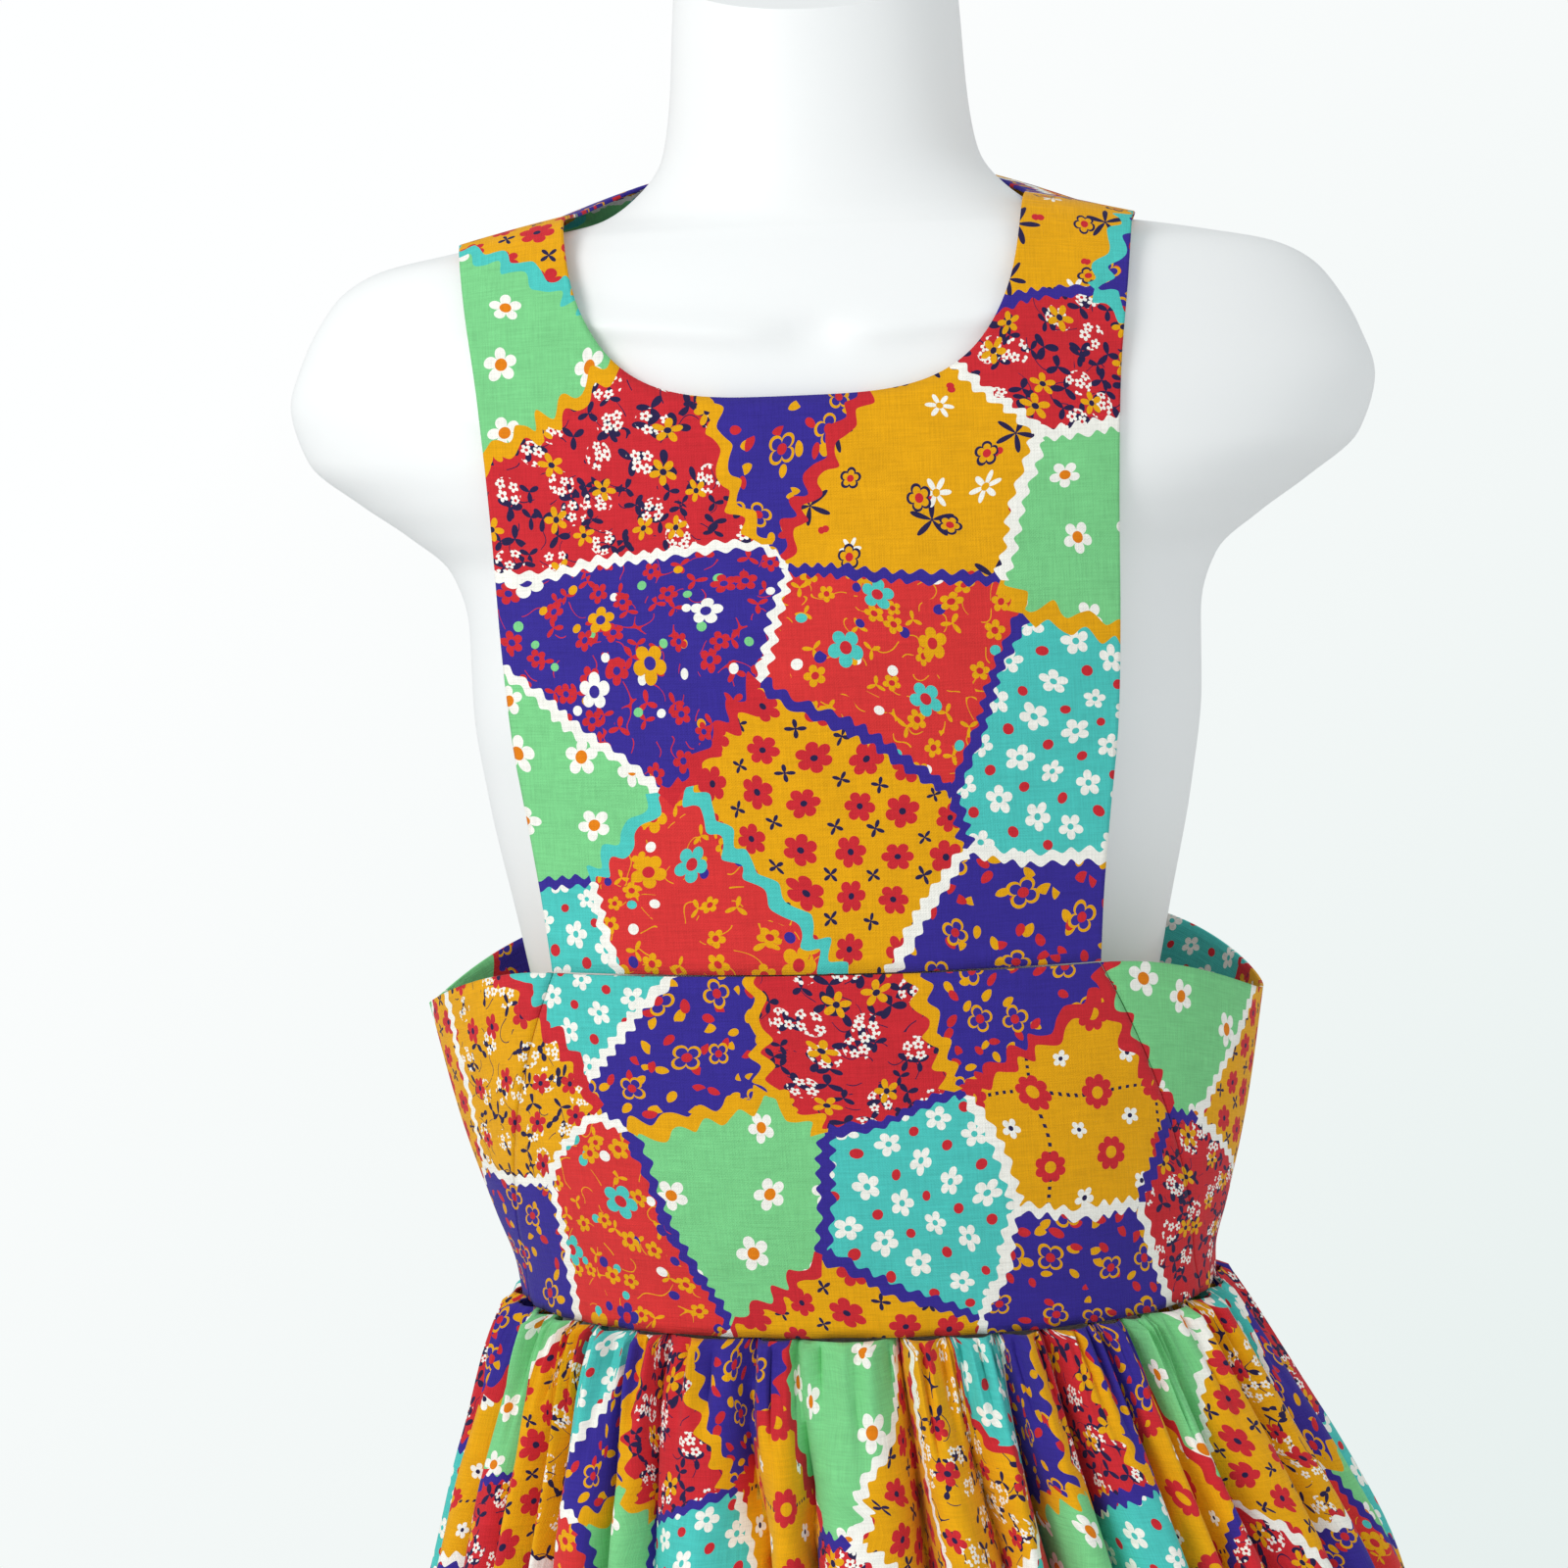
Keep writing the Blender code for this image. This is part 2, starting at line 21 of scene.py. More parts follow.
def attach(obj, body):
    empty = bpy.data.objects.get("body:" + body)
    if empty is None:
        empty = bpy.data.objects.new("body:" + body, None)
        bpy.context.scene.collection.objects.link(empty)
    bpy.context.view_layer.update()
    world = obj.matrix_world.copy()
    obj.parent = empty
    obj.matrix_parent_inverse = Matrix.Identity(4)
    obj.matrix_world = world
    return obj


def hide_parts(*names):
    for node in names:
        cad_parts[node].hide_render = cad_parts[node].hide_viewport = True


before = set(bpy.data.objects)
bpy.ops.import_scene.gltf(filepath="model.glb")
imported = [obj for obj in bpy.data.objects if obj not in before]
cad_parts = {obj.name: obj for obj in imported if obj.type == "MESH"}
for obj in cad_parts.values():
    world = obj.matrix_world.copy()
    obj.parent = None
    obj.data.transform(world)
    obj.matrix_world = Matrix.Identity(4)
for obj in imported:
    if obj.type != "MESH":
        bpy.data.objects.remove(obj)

LOG = logging.getLogger("pinafore")

Colour = tuple[float, float, float, float]
Place = Callable[[float, float], Vector]
Cloth = Callable[[float, float], tuple[float, float]]
Edge = Callable[[float], float]
Socket = bpy.types.NodeSocket

CLOTH_MAP = "cloth"
# Edges of a thread that turn more degrees than this stay sharp
SHARP_THREAD = 80.0
# Points of a stitch, in radii of its thread off the cloth: it dips in once and runs over
STITCH_HEIGHTS = (-0.9, 0.55, 0.85, 0.85, 0.85, 0.55)
MM = 1000.0

# Heights above the floor
BAND_TOP_Z = 1.0608
WAIST_Z = 0.9200
BAND_SIDE_DIP = 0.0233
BIB_LEAN = 0.028

# Neckline and straps in the flat pattern
STRAP_INNER_X = 0.0895
FRONT_NECK_DEPTH = 0.1280
FRONT_NECK_ROUNDNESS = 3.6
BACK_NECK_DEPTH = 0.0600
BACK_NECK_ROUNDNESS = 1.6
NECK_SHARE_POWER = 1.15
CORNER_SHARE = 0.40
STRAP_END_SHARE = 0.05
AREA_STEPS = 200

# Waistband seams, in degrees round it from the front centre
SEAM_ANGLE_TOP = 36.0
SEAM_ANGLE_WAIST = 72.0
RING_ROUNDNESS = 2.2

SEAM_GAP = 0.0005
BIB_SEAM_LIFT = 0.0007
LAYER_GAP = 0.0004
WALL = 0.0015
TOUCH_GAP = 0.0003

# Back closing
PLACKET_HALF_WIDTH = 0.012
BUTTON_RADIUS = 0.0075
BUTTON_THICKNESS = 0.0028
BUTTON_COUNT = 5
FIRST_BUTTON_DROP = 0.019
LAST_BUTTON_RISE = 0.014
CREASE_MARGIN = 0.0003
# Levels of the solids' placket, from the neckline down: rows of a back bib, then of the band
PLACKET_LEVELS = (8, 5)


class BibRow(NamedTuple):
    """A level of a bib: half width of the cut, then the outer face at the centre line and at the edge."""

    half_width: float
    centre_y: float
    centre_z: float
    edge_y: float
    edge_z: float


class BandRow(NamedTuple):
    """A share of the way down the waistband, and the ring there."""

    share: float
    half_width: float
    front: float
    back: float
    centre_x: float


class SkirtRow(NamedTuple):
    """A height of the skirt, and its mean ring there."""

    z: float
    half_width: float
    front: float
    back: float
    centre_x: float


class Fold(NamedTuple):
    """A ridge of the gathers: its span in degrees, and how far its crest and valley leave the mean ring."""

    degrees: float
    crest: float
    valley: float


class FormRow(NamedTuple):
    """A height of the dress form, and its ring there."""

    z: float
    half_width: float
    front: float
    back: float


FRONT_BIB = (
    BibRow(0.1037, -0.1215, BAND_TOP_Z, -0.1005, BAND_TOP_Z),
    BibRow(0.1060, -0.1215, 1.0850, -0.0985, 1.0850),
    BibRow(0.1100, -0.1212, 1.1150, -0.0950, 1.1150),
    BibRow(0.1150, -0.1202, 1.1500, -0.0905, 1.1500),
    BibRow(0.1175, -0.1170, 1.1850, -0.0860, 1.1850),
    BibRow(0.1195, -0.1030, 1.2300, -0.0795, 1.2300),
    BibRow(0.1225, -0.0885, 1.2770, -0.0735, 1.2770),
    BibRow(0.1270, -0.0800, 1.3150, -0.0630, 1.3120),
    BibRow(0.1305, -0.0480, 1.3540, -0.0430, 1.3392),
    BibRow(0.1320, 0.0000, 1.3615, 0.0000, 1.3415),
)
BACK_BIB = (
    BibRow(0.1037, 0.1180, BAND_TOP_Z, 0.0973, BAND_TOP_Z),
    BibRow(0.1060, 0.1125, 1.0850, 0.0940, 1.0850),
    BibRow(0.1100, 0.1070, 1.1150, 0.0905, 1.1150),
    BibRow(0.1150, 0.1030, 1.1500, 0.0870, 1.1500),
    BibRow(0.1175, 0.1000, 1.1850, 0.0840, 1.1850),
    BibRow(0.1195, 0.0955, 1.2350, 0.0790, 1.2300),
    BibRow(0.1225, 0.0875, 1.2850, 0.0715, 1.2770),
    BibRow(0.1270, 0.0770, 1.3280, 0.0600, 1.3120),
    BibRow(0.1305, 0.0470, 1.3750, 0.0410, 1.3392),
    BibRow(0.1320, 0.0000, 1.3615, 0.0000, 1.3415),
)
BAND = (
    BandRow(0.00, 0.1680, 0.1215, 0.1180, 0.000),
    BandRow(0.40, 0.1585, 0.1185, 0.1130, 0.002),
    BandRow(0.72, 0.1480, 0.1120, 0.1060, 0.004),
    BandRow(0.88, 0.1420, 0.1070, 0.1010, 0.005),
    BandRow(1.00, 0.1400, 0.1050, 0.0995, 0.006),
)
SKIRT = (
    SkirtRow(WAIST_Z, 0.1400, 0.1050, 0.0995, 0.006),
    SkirtRow(0.900, 0.1500, 0.1170, 0.1110, 0.008),
    SkirtRow(0.860, 0.1650, 0.1370, 0.1300, 0.014),
    SkirtRow(0.800, 0.1870, 0.1600, 0.1520, 0.021),
    SkirtRow(0.700, 0.2110, 0.1850, 0.1770, 0.022),
    SkirtRow(0.550, 0.2350, 0.2100, 0.2020, 0.018),
    SkirtRow(0.360, 0.2600, 0.2350, 0.2270, 0.018),
)
FRONT_FOLDS = (
    Fold(12.0, 0.011, 0.010),
    Fold(12.0, 0.012, 0.009),
    Fold(8.0, 0.010, 0.008),
    Fold(7.5, 0.010, 0.008),
    Fold(5.5, 0.006, 0.014),
    Fold(9.5, 0.012, 0.010),
    Fold(7.0, 0.009, 0.006),
    Fold(15.0, 0.007, 0.010),
    Fold(6.5, 0.008, 0.008),
    Fold(13.0, 0.011, 0.015),
    Fold(7.0, 0.012, 0.008),
    Fold(8.0, 0.010, 0.015),
    Fold(8.0, 0.011, 0.013),
    Fold(9.5, 0.012, 0.007),
    Fold(6.5, 0.009, 0.006),
    Fold(6.0, 0.009, 0.009),
    Fold(14.0, 0.012, 0.012),
    Fold(12.0, 0.012, 0.009),
    Fold(13.0, 0.011, 0.010),
)
FORM_BOTTOM_Z = 0.765
NECK_TOP_SLOPE = 0.45
NECK_SLOPE_START_Z = 1.372
FORM = (
    FormRow(FORM_BOTTOM_Z, 0.1250, 0.0900, 0.0930),
    FormRow(0.785, 0.1360, 0.0980, 0.1010),
    FormRow(0.830, 0.1370, 0.0975, 0.1000),
    FormRow(0.890, 0.1260, 0.0890, 0.0870),
    FormRow(0.950, 0.1170, 0.0830, 0.0780),
    FormRow(1.010, 0.1210, 0.0860, 0.0800),
    FormRow(1.063, 0.1300, 0.0910, 0.0850),
    FormRow(1.118, 0.1410, 0.1020, 0.0890),
    FormRow(1.157, 0.1460, 0.1115, 0.0915),
    FormRow(1.189, 0.1465, 0.1120, 0.0920),
    FormRow(1.211, 0.1530, 0.1040, 0.0910),
    FormRow(1.226, 0.1700, 0.0985, 0.0895),
    FormRow(1.240, 0.1900, 0.0945, 0.0880),
    FormRow(1.257, 0.2100, 0.0890, 0.0850),
    FormRow(1.279, 0.2165, 0.0840, 0.0815),
    FormRow(1.297, 0.2110, 0.0785, 0.0760),
    FormRow(1.312, 0.2030, 0.0735, 0.0700),
    FormRow(1.324, 0.1930, 0.0690, 0.0650),
    FormRow(1.332, 0.1780, 0.0650, 0.0610),
    FormRow(1.3369, 0.1550, 0.0620, 0.0585),
    FormRow(1.3408, 0.1320, 0.0600, 0.0565),
    FormRow(1.3438, 0.1100, 0.0580, 0.0545),
    FormRow(1.3478, 0.0900, 0.0565, 0.0530),
    FormRow(1.3570, 0.0745, 0.0550, 0.0515),
    FormRow(1.372, 0.0630, 0.0530, 0.0500),
    FormRow(1.395, 0.0590, 0.0515, 0.0500),
    FormRow(1.425, 0.0570, 0.0505, 0.0500),
    FormRow(1.446, 0.0555, 0.0500, 0.0500),
)


class Ink(Enum):
    """The print's inks, as sRGB values from 0 to 255."""

    CRIMSON = (208, 40, 50)
    ORANGE_RED = (220, 52, 52)
    GOLD = (235, 168, 4)
    GREEN = (126, 211, 140)
    TEAL = (78, 201, 193)
    INDIGO = (55, 42, 148)
    NAVY = (38, 30, 74)
    WHITE = (251, 249, 241)
    ORANGE = (232, 130, 10)

    def linear(self, alpha: float = 1.0) -> Colour:
        """Gives the ink in scene colours.

        Args:
            alpha: A fourth number to store with the colour.

        Returns:
            Red, green and blue from 0 to 1 on the linear scale, then alpha.
        """
        shares = (value / 255 for value in self.value)
        # The sRGB curve: a short straight foot, then a power
        red, green, blue = (((c + 0.055) / 1.055) ** 2.4 if c > 0.04045 else c / 12.92 for c in shares)
        return red, green, blue, alpha


class Fill(Enum):
    """The small patterns that fill the patches, and the number of each in the tables."""

    DAISIES = 0
    SPRIGS = 1
    NIGHT = 2
    MEADOW = 3
    ORCHARD = 4
    ROWS = 5
    TEARDROPS = 6
    OUTLINED = 7
    VINES = 8
    WINDOW = 9


GROUNDS = {
    Fill.DAISIES: Ink.GREEN,
    Fill.SPRIGS: Ink.CRIMSON,
    Fill.NIGHT: Ink.INDIGO,
    Fill.MEADOW: Ink.ORANGE_RED,
    Fill.ORCHARD: Ink.TEAL,
    Fill.ROWS: Ink.GOLD,
    Fill.TEARDROPS: Ink.INDIGO,
    Fill.OUTLINED: Ink.GOLD,
    Fill.VINES: Ink.GOLD,
    Fill.WINDOW: Ink.GOLD,
}


class Patch(NamedTuple):
    """A patch of the chart: its filling, centre in millimetres, weight, border ink and pattern turn."""

    fill: Fill
    x: float
    v: float
    weight: float
    border: Ink
    turn: float


TILE = (400.0, 560.0)
CHART = (
    Patch(Fill.ORCHARD, -102, 200, 0, Ink.WHITE, 20),
    Patch(Fill.MEADOW, -53, 216, 82, Ink.WHITE, 0),
    Patch(Fill.TEARDROPS, 90, 20, 0, Ink.WHITE, 10),
    Patch(Fill.TEARDROPS, -147, 32, -211, Ink.WHITE, 40),
    Patch(Fill.ROWS, 198, 92, 0, Ink.WHITE, 30),
    Patch(Fill.NIGHT, -60, 325, 329, Ink.WHITE, 0),
    Patch(Fill.MEADOW, -87, 35, 119, Ink.WHITE, 70),
    Patch(Fill.MEADOW, 37, 310, 211, Ink.INDIGO, 30),
    Patch(Fill.VINES, -141, 95, 211, Ink.CRIMSON, 0),
    Patch(Fill.DAISIES, 155, 125, 0, Ink.CRIMSON, 15),
    Patch(Fill.TEARDROPS, 140, 458, 0, Ink.TEAL, 80),
    Patch(Fill.SPRIGS, 159, 43, 0, Ink.INDIGO, 20),
    Patch(Fill.OUTLINED, 102, 469, 0, Ink.INDIGO, 50),
    Patch(Fill.SPRIGS, -66, 388, 267, Ink.GOLD, 5),
    Patch(Fill.ORCHARD, -87, 140, 0, Ink.WHITE, 60),
    Patch(Fill.TEARDROPS, -2, 412, -211, Ink.CRIMSON, 0),
    Patch(Fill.WINDOW, 93, 79, 329, Ink.WHITE, -3),
    Patch(Fill.DAISIES, -103, 445, 53, Ink.TEAL, 0),
    Patch(Fill.ORCHARD, 31, 51, 329, Ink.INDIGO, 26),
    Patch(Fill.SPRIGS, 107, 432, 82, Ink.WHITE, 30),
    Patch(Fill.TEARDROPS, 84, 200, 0, Ink.WHITE, 25),
    Patch(Fill.ROWS, 5, 1, 0, Ink.CRIMSON, 15),
    Patch(Fill.ROWS, 7, 262, 119, Ink.INDIGO, 8),
    Patch(Fill.TEARDROPS, -55, 113, 0, Ink.GOLD, 70),
    Patch(Fill.ORCHARD, 96, 282, 267, Ink.GOLD, 26),
    Patch(Fill.OUTLINED, 45, 384, 267, Ink.WHITE, 0),
    Patch(Fill.DAISIES, -112, 264, 0, Ink.WHITE, 0),
    Patch(Fill.ROWS, -79, 479, 0, Ink.TEAL, 40),
    Patch(Fill.DAISIES, -38, 55, 329, Ink.GOLD, 0),
    Patch(Fill.TEARDROPS, 60, 132, 0, Ink.GOLD, 0),
    Patch(Fill.SPRIGS, 10, 118, 119, Ink.WHITE, 0),
    Patch(Fill.DAISIES, 115, 369, 119, Ink.GOLD, 0),
)
# A patch's key is its squared distance, rounded to steps, and its number among the patches within the step
KEY_STEP = 0.25
KEY_BASE = 400.0
PAIR_STEP = 64.0


class Border(NamedTuple):
    """A border's half width, the reach of its waves and their length, in millimetres."""

    half_width: float
    reach: float
    wave: float


BORDERS = {
    Ink.WHITE: Border(2.1, 1.0, 6.8),
    Ink.INDIGO: Border(2.1, 1.0, 6.6),
    Ink.CRIMSON: Border(2.9, 2.4, 12.5),
    Ink.TEAL: Border(3.0, 2.4, 12.5),
    Ink.GOLD: Border(2.9, 2.3, 12.5),
}
# Borders between two patches that don't take the ink of the first of them
BORDER_PAIRS = {
    (13, 25): Ink.WHITE,
    (5, 22): Ink.CRIMSON,
    (7, 31): Ink.GOLD,
    (1, 22): Ink.TEAL,
    (1, 26): Ink.TEAL,
    (0, 26): Ink.INDIGO,
    (16, 29): Ink.CRIMSON,
    (9, 11): Ink.INDIGO,
    (6, 28): Ink.INDIGO,
    (1, 5): Ink.CRIMSON,
    (22, 26): Ink.TEAL,
}


@dataclass(frozen=True)
class Motif:
    """A shape that a filling scatters over its patch, in millimetres."""

    spacing: tuple[float, float]
    radius: float
    petals: int
    notch: float
    sharpness: float
    inks: tuple[Ink, ...]
    core: float = 0.0
    core_ink: Ink = Ink.NAVY
    rim: float = 0.0
    rim_ink: Ink = Ink.NAVY
    jitter: float = 0.6
    shift: float = 0.0
    density: float = 1.0
    turn: float = 1.0

    def ink(self, number: int) -> Ink:
        """Gives the first, second or third of its inks, 0 to 2, where one may serve for all."""
        return self.inks[number % len(self.inks)]


BLOOMS = {
    Fill.DAISIES: Motif(
        (27, 27), 6.3, 5, 0.34, 0.55, (Ink.WHITE,),
        core=0.36, core_ink=Ink.ORANGE, jitter=0.5,
    ),
    Fill.SPRIGS: Motif((19, 19), 4.9, 5, 0.16, 0.9, (Ink.GOLD,), core=0.24, jitter=0.7, density=0.85),
    Fill.NIGHT: Motif(
        (36, 33), 6.6, 5, 0.52, 0.6, (Ink.WHITE, Ink.GOLD, Ink.TEAL),
        core=0.34, core_ink=Ink.INDIGO, jitter=0.75,
    ),
    Fill.MEADOW: Motif(
        (38, 34), 6.6, 5, 0.52, 0.6, (Ink.GOLD, Ink.TEAL, Ink.INDIGO),
        core=0.34, core_ink=Ink.CRIMSON, jitter=0.75,
    ),
    Fill.ORCHARD: Motif(
        (14.7, 16.6), 5.1, 5, 0.34, 0.55, (Ink.WHITE,),
        core=0.24, core_ink=Ink.TEAL, jitter=0.1,
    ),
    Fill.ROWS: Motif((17.4, 17.0), 6.2, 6, 0.56, 0.5, (Ink.CRIMSON,), core=0.2, jitter=0.14),
    Fill.TEARDROPS: Motif(
        (22, 22), 4.6, 4, 0.4, 0.6, (Ink.INDIGO,),
        core=0.4, core_ink=Ink.CRIMSON, rim=1.15, rim_ink=Ink.GOLD, jitter=0.55,
    ),
    Fill.OUTLINED: Motif(
        (20, 23), 3.6, 5, 0.55, 0.6, (Ink.GOLD,),
        core=0.42, core_ink=Ink.CRIMSON, rim=1.0, jitter=0.75, density=0.8,
    ),
    Fill.VINES: Motif((20, 20), 4.9, 5, 0.42, 0.6, (Ink.CRIMSON,), core=0.24, jitter=0.55),
    Fill.WINDOW: Motif(
        (27, 27), 7.2, 8, 0.74, 0.6, (Ink.CRIMSON,),
        core=0.36, core_ink=Ink.GOLD, jitter=0.0,
    ),
}
SMALL = {
    Fill.SPRIGS: Motif(
        (4.7, 4.7), 2.1, 5, 0.4, 0.7, (Ink.WHITE,),
        core=0.3, core_ink=Ink.CRIMSON, jitter=0.4,
    ),
    Fill.VINES: Motif((4.7, 4.7), 2.0, 5, 0.4, 0.7, (Ink.WHITE,), core=0.3, core_ink=Ink.GOLD, jitter=0.4),
    Fill.NIGHT: Motif(
        (16, 16), 4.2, 5, 0.45, 0.6, (Ink.CRIMSON,),
        core=0.3, core_ink=Ink.INDIGO, jitter=0.75, density=0.9,
    ),
    Fill.MEADOW: Motif(
        (15, 15), 3.7, 5, 0.45, 0.6, (Ink.GOLD,),
        core=0.34, core_ink=Ink.CRIMSON, jitter=0.8, density=0.75,
    ),
    Fill.ORCHARD: Motif((14.7, 16.6), 2.0, 1, 1.0, 1.0, (Ink.CRIMSON,), jitter=0.1, shift=0.5),
    Fill.ROWS: Motif((17.4, 17.0), 3.4, 4, 0.1, 2.0, (Ink.NAVY,), jitter=0.2, shift=0.5, turn=0.3),
    Fill.TEARDROPS: Motif((9.2, 9.2), 5.4, 1, 0.0, 15.0, (Ink.CRIMSON,), jitter=0.7, density=0.6),
    Fill.OUTLINED: Motif(
        (36, 36), 5.0, 6, 0.2, 1.6, (Ink.WHITE,),
        core=0.25, core_ink=Ink.GOLD, jitter=0.8, density=0.8,
    ),
    Fill.WINDOW: Motif(
        (27, 27), 3.8, 5, 0.4, 0.6, (Ink.WHITE,),
        core=0.26, core_ink=Ink.NAVY, jitter=0.0, shift=0.5,
    ),
}
DOTS = {
    Fill.NIGHT: Motif(
        (11, 11), 1.8, 1, 1.0, 1.0, (Ink.WHITE, Ink.GREEN, Ink.GOLD),
        jitter=0.9, density=0.6,
    ),
    Fill.MEADOW: Motif(
        (12.5, 12.5), 2.0, 1, 1.0, 1.0, (Ink.TEAL, Ink.INDIGO, Ink.WHITE),
        jitter=0.9, density=0.6,
    ),
    Fill.TEARDROPS: Motif((9.4, 9.4), 5.4, 1, 0.0, 15.0, (Ink.GOLD,), jitter=0.8, density=0.65),
    Fill.SPRIGS: Motif((13, 13), 5.2, 3, 0.05, 2.4, (Ink.NAVY,), jitter=0.9, density=0.85),
    Fill.OUTLINED: Motif((17, 17), 2.2, 2, 0.5, 1.0, (Ink.CRIMSON,), jitter=0.9, density=0.55),
    Fill.VINES: Motif((12, 12), 3.8, 2, 0.1, 4.0, (Ink.NAVY,), jitter=0.9, density=0.6),
}
LEAVES = {
    Fill.SPRIGS: Motif((11.5, 11.5), 4.4, 3, 0.06, 2.6, (Ink.NAVY,), jitter=0.9, density=0.7),
    Fill.NIGHT: Motif((11.5, 11.5), 4.2, 3, 0.08, 3.0, (Ink.CRIMSON,), jitter=1.0, density=0.5),
    Fill.MEADOW: Motif((13.0, 13.0), 4.0, 3, 0.08, 4.0, (Ink.GOLD,), jitter=1.0, density=0.5),
    Fill.OUTLINED: Motif((36, 36), 8.2, 5, 0.05, 3.5, (Ink.NAVY,), jitter=0.8, density=0.8),
    Fill.VINES: Motif((15, 15), 4.8, 3, 0.04, 5.0, (Ink.NAVY,), jitter=0.9, density=0.7),
}
VINE_INKS = {
    Fill.NIGHT: Ink.CRIMSON,
    Fill.MEADOW: Ink.GOLD,
    Fill.VINES: Ink.NAVY,
    Fill.SPRIGS: Ink.NAVY,
}
CLUSTERED = (Fill.SPRIGS, Fill.VINES)


def smoothstep(value: float) -> float:
    """Eases from 0 to 1.

    Args:
        value: Any number.

    Returns:
        0 below 0, 1 above 1, and a smooth rise between them.
    """
    share = min(1.0, max(0.0, value))
    return share * share * (3.0 - 2.0 * share)


def table_curve(positions: Sequence[float], rows: Sequence[tuple], columns: Sequence[str]) -> Callable:
    """Draws smooth curves with no overshoot through a table.

    Args:
        positions: Where each row stands, rising.
        rows: Named tuples.
        columns: The fields to read.

    Returns:
        A function of position that gives the fields there as a list.
    """
    slopes = {}
    for column in columns:
        values = [getattr(row, column) for row in rows]
        spans = zip(positions, positions[1:], values, values[1:])
        steps = [(high - low) / (end - start) for start, end, low, high in spans]
        inner = [0.0 if a * b <= 0.0 else 2.0 * a * b / (a + b) for a, b in zip(steps, steps[1:])]
        slopes[column] = [steps[0], *inner, steps[-1]]

    def read(position: float) -> list[float]:
        """Reads the curves at a position.

        Args:
            position: The position, in the curves' own unit.

        Returns:
            The curves' values there.
        """
        index = 0
        while index < len(rows) - 2 and position > positions[index + 1]:
            index += 1
        width = positions[index + 1] - positions[index]
        s = min(1.0, max(0.0, (position - positions[index]) / width))
        found = []
        for column in columns:
            low = getattr(rows[index], column)
            high = getattr(rows[index + 1], column)
            found.append(
                low * (1 + 2 * s) * (1 - s) ** 2
                + slopes[column][index] * width * s * (1 - s) ** 2
                + high * s * s * (3 - 2 * s)
                + slopes[column][index + 1] * width * s * s * (s - 1)
            )
        return found

    return read


def ring_point(
    angle: float, half_width: float, front: float, back: float, roundness: float
) -> tuple[float, float]:
    """Finds a point of a rounded ring.

    Args:
        angle: Degrees from the front centre, positive towards +X.
        half_width: The ring's reach to each side.
        front: Its reach to the front.
        back: Its reach to the back.
        roundness: 2 for an ellipse, more for a squarer ring.

    Returns:
        The point's x and y.
    """
    turn = math.radians(angle)
    across, along = math.sin(turn), math.cos(turn)
    power = 2.0 / roundness
    x = math.copysign(abs(across) ** power, across) * half_width
    y = -math.copysign(abs(along) ** power, along) * (front if along > 0 else back)
    return x, y


def running_lengths(points: Sequence[Vector]) -> list[float]:
    """Measures the way along a row of points, from the first to each of them.

    Args:
        points: The points, in order.

    Returns:
        The length up to each point, starting with 0.
    """
    lengths = [0.0]
    for a, b in zip(points, points[1:]):
        lengths.append(lengths[-1] + (b - a).length)
    return lengths


def ripple(value: float, seed: float) -> float:
    """Gives a smooth wandering value from -1 to 1.

    Args:
        value: Where along the wander, in radians of its main wave.
        seed: Sets one wander apart from another.

    Returns:
        The sum of three waves with no common period.
    """
    return (
        0.5 * math.sin(value + seed * 1.7)
        + 0.3 * math.sin(value * 1.93 + seed * 4.1)
        + 0.2 * math.sin(value * 3.37 + seed * 7.3)
    )


